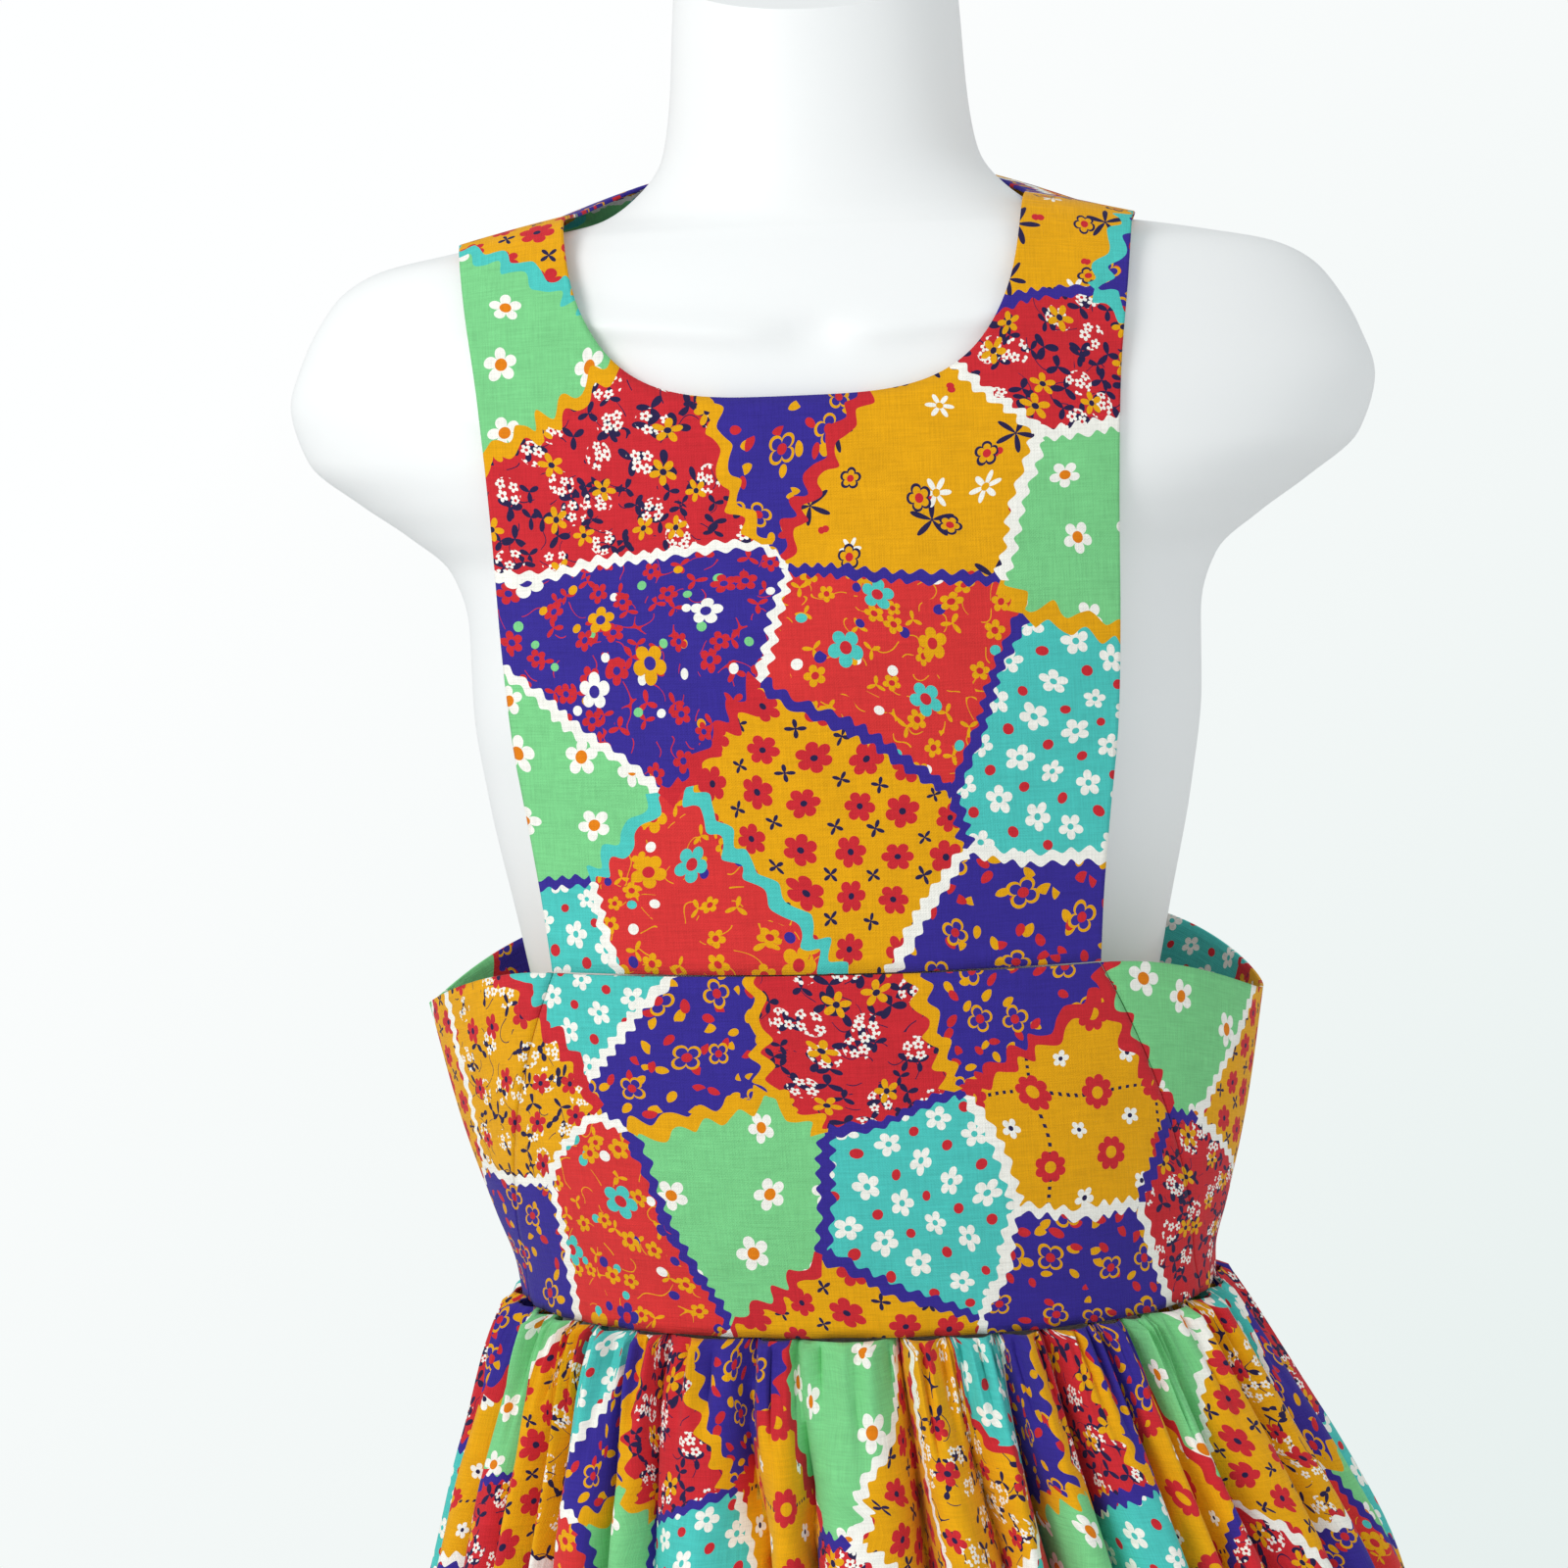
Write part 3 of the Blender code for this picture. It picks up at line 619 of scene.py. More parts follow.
class BibPattern:
    """The flat cut of a bib panel, and how it lies on the figure: x across it, t up it from the band seam."""

    def __init__(self, rows: Sequence[BibRow], neck_depth: float, neck_roundness: float) -> None:
        """Measures the panel's length and keeps its neckline.

        Args:
            rows: The panel's levels from the band seam up.
            neck_depth: How far the neckline dips under the shoulder seam.
            neck_roundness: 2 for an ellipse, more for a squarer scoop.
        """
        self.levels = [0.0]
        for low, high in zip(rows, rows[1:]):
            rise = (high.centre_z + high.edge_z - low.centre_z - low.edge_z) / 2
            run = (high.centre_y + high.edge_y - low.centre_y - low.edge_y) / 2
            self.levels.append(self.levels[-1] + math.hypot(rise, run))
        self.read = table_curve(self.levels, rows, BibRow._fields)
        self.length = self.levels[-1]
        self.neck_depth = neck_depth
        self.neck_power = 2.0 / neck_roundness

    def neckline(self, share: float) -> tuple[float, float]:
        """Gives the neckline's (x, t) at a share from the centre, 0, to the shoulder seam, 1.

        Args:
            share: 0 at the centre and 1 at the shoulder seam.

        Returns:
            The point of the flat cut, in metres.
        """
        turn = share * math.pi / 2
        x = STRAP_INNER_X * math.sin(turn) ** self.neck_power
        return x, self.length - self.neck_depth * math.cos(turn) ** self.neck_power

    def outline(self, share: float) -> tuple[float, float]:
        """Gives (x, t) along the band seam and then up the armhole edge, share 0 to 1.

        Args:
            share: 0 at the centre of the band's seam and 1 at the shoulder.

        Returns:
            The point of the flat cut, in metres.
        """
        if share <= CORNER_SHARE:
            return self.read(0.0)[0] * share / CORNER_SHARE, 0.0
        t = self.length * (share - CORNER_SHARE) / (1.0 - CORNER_SHARE)
        return self.read(t)[0], t

    def flat(self, share: float, reach: float) -> tuple[float, float]:
        """Gives (x, t) between the neckline, reach 0, and the outline, reach 1.

        Args:
            share: The share along the edge, from 0 to 1.
            reach: 0 on the neckline and 1 on the outline.

        Returns:
            The point of the flat cut, in metres.
        """
        neck = self.neckline(min(1.0, share**NECK_SHARE_POWER))
        rim = self.outline(share)
        return neck[0] + (rim[0] - neck[0]) * reach, neck[1] + (rim[1] - neck[1]) * reach

    def place(self, x: float, t: float) -> Vector:
        """Gives the outer face's point in space for (x, t) of the flat cut.

        Args:
            x: The way to the side from the centre line, in metres.
            t: The way up from the band seam, in metres.

        Returns:
            The point, in metres.
        """
        half_width, centre_y, centre_z, edge_y, edge_z = self.read(t)
        setback = (x / half_width) ** 2
        y = centre_y + (edge_y - centre_y) * setback
        z = centre_z + (edge_z - centre_z) * setback
        z += BIB_LEAN * (x + half_width) / 2 * t / self.length
        return Vector((x - BIB_LEAN * (z - BAND_TOP_Z), y, z))

    def sewn(self, x: float, t: float) -> Vector:
        """Gives the point that place gives, lifted off the band's seam."""
        return self.place(x, t) + Vector((0.0, 0.0, BIB_SEAM_LIFT * (1.0 - t / self.length)))

    def shoulder_gap(self, t: float) -> float:
        """Gives how far the end of a strap keeps off the shoulder seam's middle."""
        return SEAM_GAP / 2 * smoothstep(1.0 - (1.0 - t / self.length) / STRAP_END_SHARE)

    def half_area(self) -> float:
        """Gives the flat area of half of the cut, in square metres.

        Returns:
            The area, in square metres.
        """
        rim = [self.outline(i / AREA_STEPS) for i in range(AREA_STEPS + 1)]
        neck = [self.neckline(1.0 - i / AREA_STEPS) for i in range(AREA_STEPS + 1)]
        ring = rim + neck
        return abs(sum(a[0] * b[1] - b[0] * a[1] for a, b in zip(ring, ring[1:] + ring[:1]))) / 2


BAND_CURVE = table_curve([row.share for row in BAND], BAND, BandRow._fields[1:])
SKIRT_CURVE = table_curve([-row.z for row in SKIRT], SKIRT, SkirtRow._fields[1:])
FORM_CURVE = table_curve(list(range(len(FORM))), FORM, FormRow._fields)
FRONT_PATTERN = BibPattern(FRONT_BIB, FRONT_NECK_DEPTH, FRONT_NECK_ROUNDNESS)
BACK_PATTERN = BibPattern(BACK_BIB, BACK_NECK_DEPTH, BACK_NECK_ROUNDNESS)


def band_seam_angle(share: float) -> float:
    """Gives the side-front seam's angle at this share of the way down the band."""
    return SEAM_ANGLE_TOP + (SEAM_ANGLE_WAIST - SEAM_ANGLE_TOP) * share


def band_place(angle: float, share: float) -> Vector:
    """Gives a point of the waistband's outer face from its angle and the share of the way down.

    Args:
        angle: The angle round the dress from the front centre, in degrees.
        share: The share of the way down the band, from 0 to 1.

    Returns:
        The point, in metres.
    """
    half_width, front, back, centre_x = BAND_CURVE(share)
    x, y = ring_point(angle, half_width, front, back, RING_ROUNDNESS)
    from_side = abs(90.0 - abs(angle)) / (90.0 - SEAM_ANGLE_TOP)
    top = BAND_TOP_Z - BAND_SIDE_DIP * smoothstep(1.0 - from_side)
    return Vector((x + centre_x, y, top + (WAIST_Z - top) * share))


class ArcTable:
    """Lengths along a ring from its front centre, by angle."""

    STEP = 2.0

    def __init__(self, point: Callable[[float], Vector], reach: float = 190.0) -> None:
        """Walks the ring to both sides.

        Args:
            point: Gives a point of the ring at an angle in degrees.
            reach: How many degrees to walk to each side.
        """
        self.sides = {}
        for side in (-1.0, 1.0):
            angles = [side * step * self.STEP for step in range(int(reach / self.STEP) + 1)]
            self.sides[side] = running_lengths([point(angle) for angle in angles])

    def length(self, angle: float) -> float:
        """Gives the signed length from the front centre to this angle.

        Args:
            angle: The angle round the dress from the front centre, in degrees.

        Returns:
            The length, in metres.
        """
        side = math.copysign(1.0, angle)
        lengths = self.sides[side]
        place = min(abs(angle) / self.STEP, len(lengths) - 1.001)
        index = int(place)
        return side * (lengths[index] + (lengths[index + 1] - lengths[index]) * (place - index))


class Bench:
    """Adds shader nodes to one tree and joins them."""

    def __init__(self, tree: bpy.types.NodeTree) -> None:
        """Keeps the tree that the nodes go into."""
        self.tree = tree

    def node(self, kind: str, **settings: object) -> bpy.types.Node:
        """Adds a node.

        Args:
            kind: Blender's name of the node type.
            settings: Properties to set on it.

        Returns:
            The new node.
        """
        made = self.tree.nodes.new(kind)
        count = len(self.tree.nodes)
        made.location = (count // 24 * 200, -(count % 24) * 160)
        for name, value in settings.items():
            setattr(made, name, value)
        return made

    def feed(self, socket: Socket, value: object) -> None:
        """Links a socket to another, or sets its value when it isn't one.

        Args:
            socket: The input to feed.
            value: The socket to link, or the value to set.
        """
        if isinstance(value, Socket):
            self.tree.links.new(value, socket)
        elif value is not None:
            socket.default_value = value

    def math(self, operation: str, *values: object) -> Socket:
        """Adds a Math node on up to three values and returns its result.

        Args:
            operation: The node's operation.
            *values: Its inputs, sockets or numbers.

        Returns:
            The node's result.
        """
        made = self.node("ShaderNodeMath", operation=operation)
        for socket, value in zip(made.inputs, values):
            self.feed(socket, value)
        return made.outputs[0]

    def vector(self, operation: str, *values: object) -> Socket:
        """Adds a Vector Math node and returns its result, a number for lengths and products.

        Args:
            operation: The node's operation.
            *values: Its inputs, sockets, vectors or numbers.

        Returns:
            The node's result.
        """
        made = self.node("ShaderNodeVectorMath", operation=operation)
        for socket, value in zip(made.inputs, values):
            self.feed(socket, value)
        return made.outputs["Value" if operation in ("DOT_PRODUCT", "LENGTH", "DISTANCE") else "Vector"]

    def join(self, x: object, y: object, z: object = 0.0) -> Socket:
        """Adds a Combine XYZ node and returns its vector.

        Args:
            x: The first number.
            y: The second number.
            z: The third number.

        Returns:
            The vector.
        """
        made = self.node("ShaderNodeCombineXYZ")
        for socket, value in zip(made.inputs, (x, y, z)):
            self.feed(socket, value)
        return made.outputs[0]

    def split(self, vector: Socket) -> tuple[Socket, Socket, Socket]:
        """Adds a Separate XYZ node and returns its three numbers.

        Args:
            vector: The vector to take apart.

        Returns:
            The three numbers.
        """
        made = self.node("ShaderNodeSeparateXYZ")
        self.feed(made.inputs[0], vector)
        return tuple(made.outputs)

    def blend(self, factor: object, low: object, high: object, mode: str = "MIX") -> Socket:
        """Adds a colour Mix node and returns its colour.

        Args:
            factor: The share of the second colour.
            low: The first colour.
            high: The second colour.
            mode: How the node blends them.

        Returns:
            The colour.
        """
        made = self.node("ShaderNodeMix", data_type="RGBA", blend_type=mode)
        self.feed(made.inputs[0], factor)
        self.feed(made.inputs[6], low)
        self.feed(made.inputs[7], high)
        return made.outputs[2]

    def choose(self, mask: object, low: object, high: object) -> Socket:
        """Adds a number Mix node and returns low where the mask is 0 and high where it is 1.

        Args:
            mask: The mask.
            low: The number where the mask is 0.
            high: The number where the mask is 1.

        Returns:
            The number.
        """
        made = self.node("ShaderNodeMix", data_type="FLOAT")
        self.feed(made.inputs[0], mask)
        self.feed(made.inputs[2], low)
        self.feed(made.inputs[3], high)
        return made.outputs[0]

    def ladder(self, position: Socket, steps: Sequence[Colour]) -> tuple[Socket, Socket]:
        """Reads a table of colours with a fourth number.

        Args:
            position: From 0 to 1, the middle of the wanted step.
            steps: Up to 32 entries.

        Returns:
            The entry's colour and its fourth number.
        """
        made = self.node("ShaderNodeValToRGB")
        ramp = made.color_ramp
        ramp.interpolation = "CONSTANT"
        ramp.elements.remove(ramp.elements[1])
        ramp.elements[0].position = 0.0
        ramp.elements[0].color = steps[0]
        for number, step in enumerate(steps[1:], 1):
            ramp.elements.new(number / len(steps)).color = step
        self.feed(made.inputs[0], position)
        return made.outputs[0], made.outputs[1]

    def noise(self, vector: object, scale: float, detail: float = 1.0, roughness: float = 0.5) -> Socket:
        """Adds a noise texture in the plane of the cloth and returns its value.

        Args:
            vector: Where to read the noise.
            scale: Its scale, in lumps a unit.
            detail: Its count of finer layers.
            roughness: The strength of the finer layers.

        Returns:
            The noise's value.
        """
        made = self.node("ShaderNodeTexNoise", noise_dimensions="2D")
        self.feed(made.inputs["Vector"], vector)
        made.inputs["Scale"].default_value = scale
        made.inputs["Detail"].default_value = detail
        made.inputs["Roughness"].default_value = roughness
        return made.outputs[0]

    def cells(self, vector: Socket, randomness: object) -> bpy.types.Node:
        """Adds a Voronoi texture with one cell a unit in the plane of the cloth.

        Args:
            vector: Where to read the texture.
            randomness: 0 for a square lattice, 1 for scattered cells.

        Returns:
            The node.
        """
        made = self.node("ShaderNodeTexVoronoi", voronoi_dimensions="2D", feature="F1")
        self.feed(made.inputs["Vector"], vector)
        made.inputs["Scale"].default_value = 1.0
        self.feed(made.inputs["Randomness"], randomness)
        return made

    def cloud(self, scale: float, detail: float, stretch: Sequence[float] | None = None) -> Socket:
        """Adds a solid noise texture in the object's own coordinates and returns its value.

        Args:
            scale: The noise's scale, per metre.
            detail: Its octaves.
            stretch: Factors for the coordinates, where the noise is drawn out.

        Returns:
            The noise, from 0 to 1.
        """
        point = self.node("ShaderNodeTexCoord").outputs["Object"]
        if stretch:
            point = self.vector("MULTIPLY", point, stretch)
        made = self.node("ShaderNodeTexNoise")
        self.feed(made.inputs["Vector"], point)
        made.inputs["Scale"].default_value = scale
        made.inputs["Detail"].default_value = detail
        return made.outputs[0]

    def bump(self, shader: bpy.types.Node, height: Socket, distance: float, strength: float = 1.0) -> None:
        """Feeds a height through a Bump node into a shader's normal.

        Args:
            shader: The Principled shader.
            height: The height, from 0 to 1.
            distance: What a height of 1 measures, in metres.
            strength: The bump's strength.
        """
        bump = self.node("ShaderNodeBump")
        bump.inputs["Strength"].default_value = strength
        bump.inputs["Distance"].default_value = distance
        self.feed(bump.inputs["Height"], height)
        self.feed(shader.inputs["Normal"], bump.outputs[0])

    def group(self, tree: bpy.types.NodeTree, **values: object) -> bpy.types.Node:
        """Places a node group and feeds its inputs, whose names have spaces for underscores.

        Args:
            tree: The group to place.
            **values: What to feed its inputs, by name.

        Returns:
            The node.
        """
        made = self.node("ShaderNodeGroup", node_tree=tree)
        for name, value in values.items():
            self.feed(made.inputs[name.replace("_", " ").title()], value)
        return made


class NewGroup(NamedTuple):
    """An empty node group: its tree, a bench on it, its input node and its output node."""

    tree: bpy.types.NodeTree
    bench: Bench
    given: bpy.types.Node
    result: bpy.types.Node


def new_group(name: str, inputs: dict[str, str], outputs: dict[str, str]) -> NewGroup:
    """Makes an empty node group.

    Args:
        name: The group's name.
        inputs: Socket types by input name.
        outputs: Socket types by output name.

    Returns:
        The group's tree, bench and two ends.
    """
    tree = bpy.data.node_groups.new(name, "ShaderNodeTree")
    for label, kind in inputs.items():
        tree.interface.new_socket(label, in_out="INPUT", socket_type=f"NodeSocket{kind}")
    for label, kind in outputs.items():
        tree.interface.new_socket(label, in_out="OUTPUT", socket_type=f"NodeSocket{kind}")
    bench = Bench(tree)
    return NewGroup(tree, bench, bench.node("NodeGroupInput"), bench.node("NodeGroupOutput"))


class PatchworkPrint:
    """Builds the printed cotton's patches, wavy borders and small flower patterns as node groups.

    Sizes are in millimetres of cloth. The tables that the shader reads hold numbers from 0 to 1, so a size is
    divided by its full scale on the way in and multiplied by it on the way out.
    """

    DRIFT_LENGTH = 60.0
    DRIFT_REACH = 7.0
    DRIFT_SHIFT = (133.0, 71.0, 0.0)

    # How uneven a flower's size is, and what makes a second random number of its first
    SIZE_SPREAD = 0.22
    SMALLEST = 0.86
    PICK_FACTOR = 7.31
    SECOND_INK_FROM = 0.4
    THIRD_INK_FROM = 0.7

    # Lengths over which a border's waves wander, change their reach and change its width
    WAVER_LENGTH = 21.0
    REACH_LENGTH = 33.0
    WIDTH_LENGTH = 13.0
    WAVER = 0.9
    UNEVEN = (0.9, 0.55)
    # How much of a straight zigzag and of its cube makes a wave with round tips
    WAVE_MIX = (1.45, 0.45)
    PAIR_TOLERANCE = 0.01

    SPACING_SCALE = 40.0
    SIZE_SCALE = 10.0
    SHARPNESS_SCALE = 30.0
    RIM_SCALE = 2.0
    LEAST_RIM = 0.01

    CLUSTER_SIZE = 17.0
    CLUSTER_SHIFT = (0.4, 0.3, 0.0)
    CLUSTER_JITTER = 0.75
    CLUSTER_RADIUS = 0.30

    VINE_LENGTH = 11.0
    VINE_HALF_WIDTH = 0.012
    VINE_BREAK_LENGTH = 9.0
    VINE_BREAK_SHIFT = (31.0, 17.0, 0.0)
    VINE_BREAK_FROM = 0.53

    LATTICE_HALF_WIDTH = 0.7
    LATTICE_DOT_PITCH = 1.65

    # Each patch slides its filling by its own share of this length
    SLIDE = 27.0
    SLIDE_STEPS = (0.37, 0.61)
    LEAF_SHIFT = (72.0, 108.0, 0.0)
    DOT_SHIFT = (13.5, 13.5, 0.0)

    def __init__(self) -> None:
        """Makes the groups."""
        self.scatter = self.scatter_group()
        self.chart = self.chart_group()
        self.tree = self.print_group()

    def scatter_group(self) -> bpy.types.NodeTree:
        """Makes the group that scatters one flower, leaf or dot over the cloth.

        Returns:
            A group that puts out masks of the shape, its middle and its outline, and a random number.
        """
        numbers = "Jitter Radius Petals Notch Sharpness Core Rim Turn Shift Density".split()
        tree, bench, given, result = new_group(
            "scattered shape",
            {"Point": "Vector", "Spacing": "Vector", **dict.fromkeys(numbers, "Float")},
            {"Shape": "Float", "Middle": "Float", "Outline": "Float", "Pick": "Float"},
        )
        sockets = given.outputs
        cells = bench.vector("DIVIDE", sockets["Point"], sockets["Spacing"])
        cells = bench.vector("ADD", cells, bench.join(sockets["Shift"], sockets["Shift"]))
        voronoi = bench.cells(cells, sockets["Jitter"])
        away = bench.vector("SUBTRACT", cells, voronoi.outputs["Position"])
        away = bench.vector("MULTIPLY", away, sockets["Spacing"])
        red, green, blue = bench.split(voronoi.outputs["Color"])
        x, y, _ = bench.split(away)
        radius = bench.vector("LENGTH", away)
        angle = bench.math("ARCTAN2", y, x)
        angle = bench.math("MULTIPLY_ADD", red, bench.math("MULTIPLY", sockets["Turn"], math.tau), angle)
        half_petals = bench.math("MULTIPLY", sockets["Petals"], 0.5)
        lobes = bench.math("ABSOLUTE", bench.math("COSINE", bench.math("MULTIPLY", angle, half_petals)))
        lobes = bench.math("POWER", lobes, sockets["Sharpness"])
        reach = bench.choose(lobes, sockets["Notch"], 1.0)
        uneven = bench.math("MULTIPLY_ADD", green, self.SIZE_SPREAD, self.SMALLEST)
        size = bench.math("MULTIPLY", sockets["Radius"], uneven)
        edge = bench.math("MULTIPLY", size, reach)
        kept = bench.math("LESS_THAN", blue, sockets["Density"])
        shape = bench.math("MULTIPLY", bench.math("LESS_THAN", radius, edge), kept)
        middle = bench.math("LESS_THAN", radius, bench.math("MULTIPLY", size, sockets["Core"]))
        outline = bench.math("LESS_THAN", radius, bench.math("ADD", edge, sockets["Rim"]))
        bench.feed(result.inputs["Shape"], shape)
        bench.feed(result.inputs["Middle"], bench.math("MULTIPLY", middle, kept))
        bench.feed(result.inputs["Outline"], bench.math("MULTIPLY", outline, kept))
        pick = bench.math("FRACT", bench.math("MULTIPLY", red, self.PICK_FACTOR))
        bench.feed(result.inputs["Pick"], pick)
        return tree

    def chart_group(self) -> bpy.types.NodeTree:
        """Makes the group that finds the patch and the wavy border at a point of the cloth.

        Returns:
            A group with the patch's place in the tables, the border's mask and the place of its ink.
        """
        tree, bench, given, result = new_group(
            "patch chart",
            {"Point": "Vector"},
            {"Patch": "Float", "Border": "Float", "Ink": "Float"},
        )
        point = given.outputs["Point"]
        half = (TILE[0] / 2, TILE[1] / 2, 1.0)
        low = (-half[0], -half[1], -1.0)
        first, second = 1.0e6, 1.0e6
        for number, patch in enumerate(CHART):
            away = bench.vector("SUBTRACT", point, (patch.x, patch.v, 0.0))
            away = bench.vector("WRAP", away, half, low)
            key = bench.math("SNAP", bench.vector("DOT_PRODUCT", away, away), KEY_STEP)
            key = bench.math("ADD", key, KEY_BASE - patch.weight + number * KEY_STEP / len(CHART))
            if number:
                second = bench.math("MINIMUM", second, bench.math("MAXIMUM", first, key))
                first = bench.math("MINIMUM", first, key)
            else:
                first = key
        seeds = [((p.x + half[0]) / TILE[0], p.v / TILE[1], 0.0, 1.0) for p in CHART]
        near, far = (self.number_of(bench, key) for key in (first, second))
        from_near, from_far = (
            bench.vector("WRAP", bench.vector("SUBTRACT", point, seed), half, low)
            for seed in [self.seed_point(bench, number, seeds) for number in (near, far)]
        )
        gap = bench.vector("SUBTRACT", from_near, from_far)
        width = bench.vector("LENGTH", gap)
        lead = bench.math("SUBTRACT", second, first)
        distance = bench.math("DIVIDE", lead, bench.math("MULTIPLY", width, 2.0))
        side = bench.math("MULTIPLY_ADD", bench.math("LESS_THAN", near, far), 2.0, -1.0)
        signed = bench.math("MULTIPLY", distance, side)
        lowest = bench.math("MINIMUM", near, far)
        highest = bench.math("MAXIMUM", near, far)

        gap_x, gap_y, _ = bench.split(gap)
        across = bench.join(bench.math("MULTIPLY", gap_y, -1.0), gap_x)
        along = bench.math("DIVIDE", bench.vector("DOT_PRODUCT", point, across), width)
        along = bench.math("MULTIPLY", along, side)
        ink, half_width, reach, wave_length = self.border_style(bench, lowest, highest)
        waver = bench.noise(point, 1 / self.WAVER_LENGTH)
        phase = bench.math("MULTIPLY_ADD", waver, self.WAVER, bench.math("DIVIDE", along, wave_length))
        zigzag = bench.math("MULTIPLY_ADD", bench.math("PINGPONG", phase, 0.5), 4.0, -1.0)
        cube = bench.math("MULTIPLY", bench.math("MULTIPLY", zigzag, zigzag), zigzag)
        straight, curved = (bench.math("MULTIPLY", *pair) for pair in zip((zigzag, cube), self.WAVE_MIX))
        wave = bench.math("SUBTRACT", straight, curved)
        uneven, swell = (
            bench.math("MULTIPLY_ADD", bench.noise(point, 1 / length), *self.UNEVEN)
            for length in (self.REACH_LENGTH, self.WIDTH_LENGTH)
        )
        moved = bench.math("MULTIPLY", wave, bench.math("MULTIPLY", reach, uneven))
        shifted = bench.math("SUBTRACT", signed, moved)
        half_width = bench.math("MULTIPLY", half_width, swell)
        border = bench.math("LESS_THAN", bench.math("ABSOLUTE", shifted), half_width)
        upper = bench.math("GREATER_THAN", shifted, 0.0)
        bench.feed(result.inputs["Patch"], bench.choose(upper, highest, lowest))
        bench.feed(result.inputs["Border"], border)
        bench.feed(result.inputs["Ink"], ink)
        return tree

    def border_style(self, bench: Bench, lowest: Socket, highest: Socket) -> tuple[Socket, ...]:
        """Finds the border between two patches.

        Args:
            bench: Where the nodes go.
            lowest: The first patch's place in the tables.
            highest: The second patch's place.

        Returns:
            The place of its ink among the inks, and its half width, reach and wave length in millimetres.
        """
        inks = list(Ink)

        def ink_place(ink: Ink) -> float:
            """Gives the middle of an ink's step in the table of inks."""
            return (inks.index(ink) + 0.5) / len(inks)

        _, chosen = bench.ladder(lowest, [(0.0, 0.0, 0.0, ink_place(patch.border)) for patch in CHART])
        pair = bench.math("MULTIPLY_ADD", highest, PAIR_STEP, lowest)
        for (first, second), ink in BORDER_PAIRS.items():
            code = (second + 0.5) / len(CHART) * PAIR_STEP + (first + 0.5) / len(CHART)
            same = bench.math("COMPARE", pair, code, self.PAIR_TOLERANCE)
            chosen = bench.choose(same, chosen, ink_place(ink))
        scales = (self.SIZE_SCALE, self.SIZE_SCALE, self.SPACING_SCALE)
        styles = [BORDERS.get(ink, BORDERS[Ink.WHITE]) for ink in inks]
        rows = [(*(size / full for size, full in zip(style, scales)), 1.0) for style in styles]
        sizes, _ = bench.ladder(chosen, rows)
        return chosen, *(bench.math("MULTIPLY", *pair) for pair in zip(bench.split(sizes), scales))

    def number_of(self, bench: Bench, key: Socket) -> Socket:
        """Reads a patch's place in the tables from the last digits of its key."""
        left = bench.math("MODULO", key, KEY_STEP)
        return bench.math("MULTIPLY_ADD", left, 1.0 / KEY_STEP, 0.5 / len(CHART))

    def seed_point(self, bench: Bench, place: Socket, seeds: Sequence[Colour]) -> Socket:
        """Looks up a patch's centre in millimetres from its place in the tables.

        Args:
            bench: The bench to add the nodes with.
            place: The patch's place in the tables.
            seeds: The table of centres.

        Returns:
            The centre, in millimetres.
        """
        share, _ = bench.ladder(place, seeds)
        made = bench.node("ShaderNodeVectorMath", operation="MULTIPLY_ADD")
        bench.feed(made.inputs[0], share)
        bench.feed(made.inputs[1], (TILE[0], TILE[1], 0.0))
        bench.feed(made.inputs[2], (-TILE[0] / 2, 0.0, 0.0))
        return made.outputs[0]

    def by_fill(self, bench: Bench, place: Socket, read: Callable[[Fill], Colour]) -> tuple[Socket, Socket]:
        """Looks up what read gives for the filling at a place of the fillings' table."""
        return bench.ladder(place, [read(fill) for fill in Fill])

    def one_of(self, bench: Bench, place: Socket, kinds: Sequence[Fill]) -> Socket:
        """Gives 1 where the filling at a place of the table is one of these kinds, and 0 elsewhere."""
        return self.by_fill(bench, place, lambda kind: (0.0, 0.0, 0.0, float(kind in kinds)))[1]

    def layer(self, bench: Bench, motifs: dict[Fill, Motif], fill: Socket, point: Socket, ground: Socket,
              gate: Socket | None = None) -> Socket:
        """Prints one scattered layer over the cloth.

        Args:
            bench: Where the nodes go.
            motifs: The layer's shape for each filling that has one.
            fill: The filling's place in its table.
            point: The point of the cloth, in millimetres, turned for the patch.
            ground: The colour under the layer.
            gate: A mask that limits the layer.

        Returns:
            The colour with the layer printed on it.
        """
        blank = Motif((10, 10), 1.0, 1, 1.0, 1.0, (Ink.WHITE,), density=0.0)
        wide_scale, size_scale, sharp_scale = self.SPACING_SCALE, self.SIZE_SCALE, self.SHARPNESS_SCALE

        def table(read: Callable[[Motif], Colour]) -> tuple[Socket, Socket]:
            """Looks up a colour and a number of this layer's motif."""
            return self.by_fill(bench, fill, lambda kind: read(motifs.get(kind, blank)))

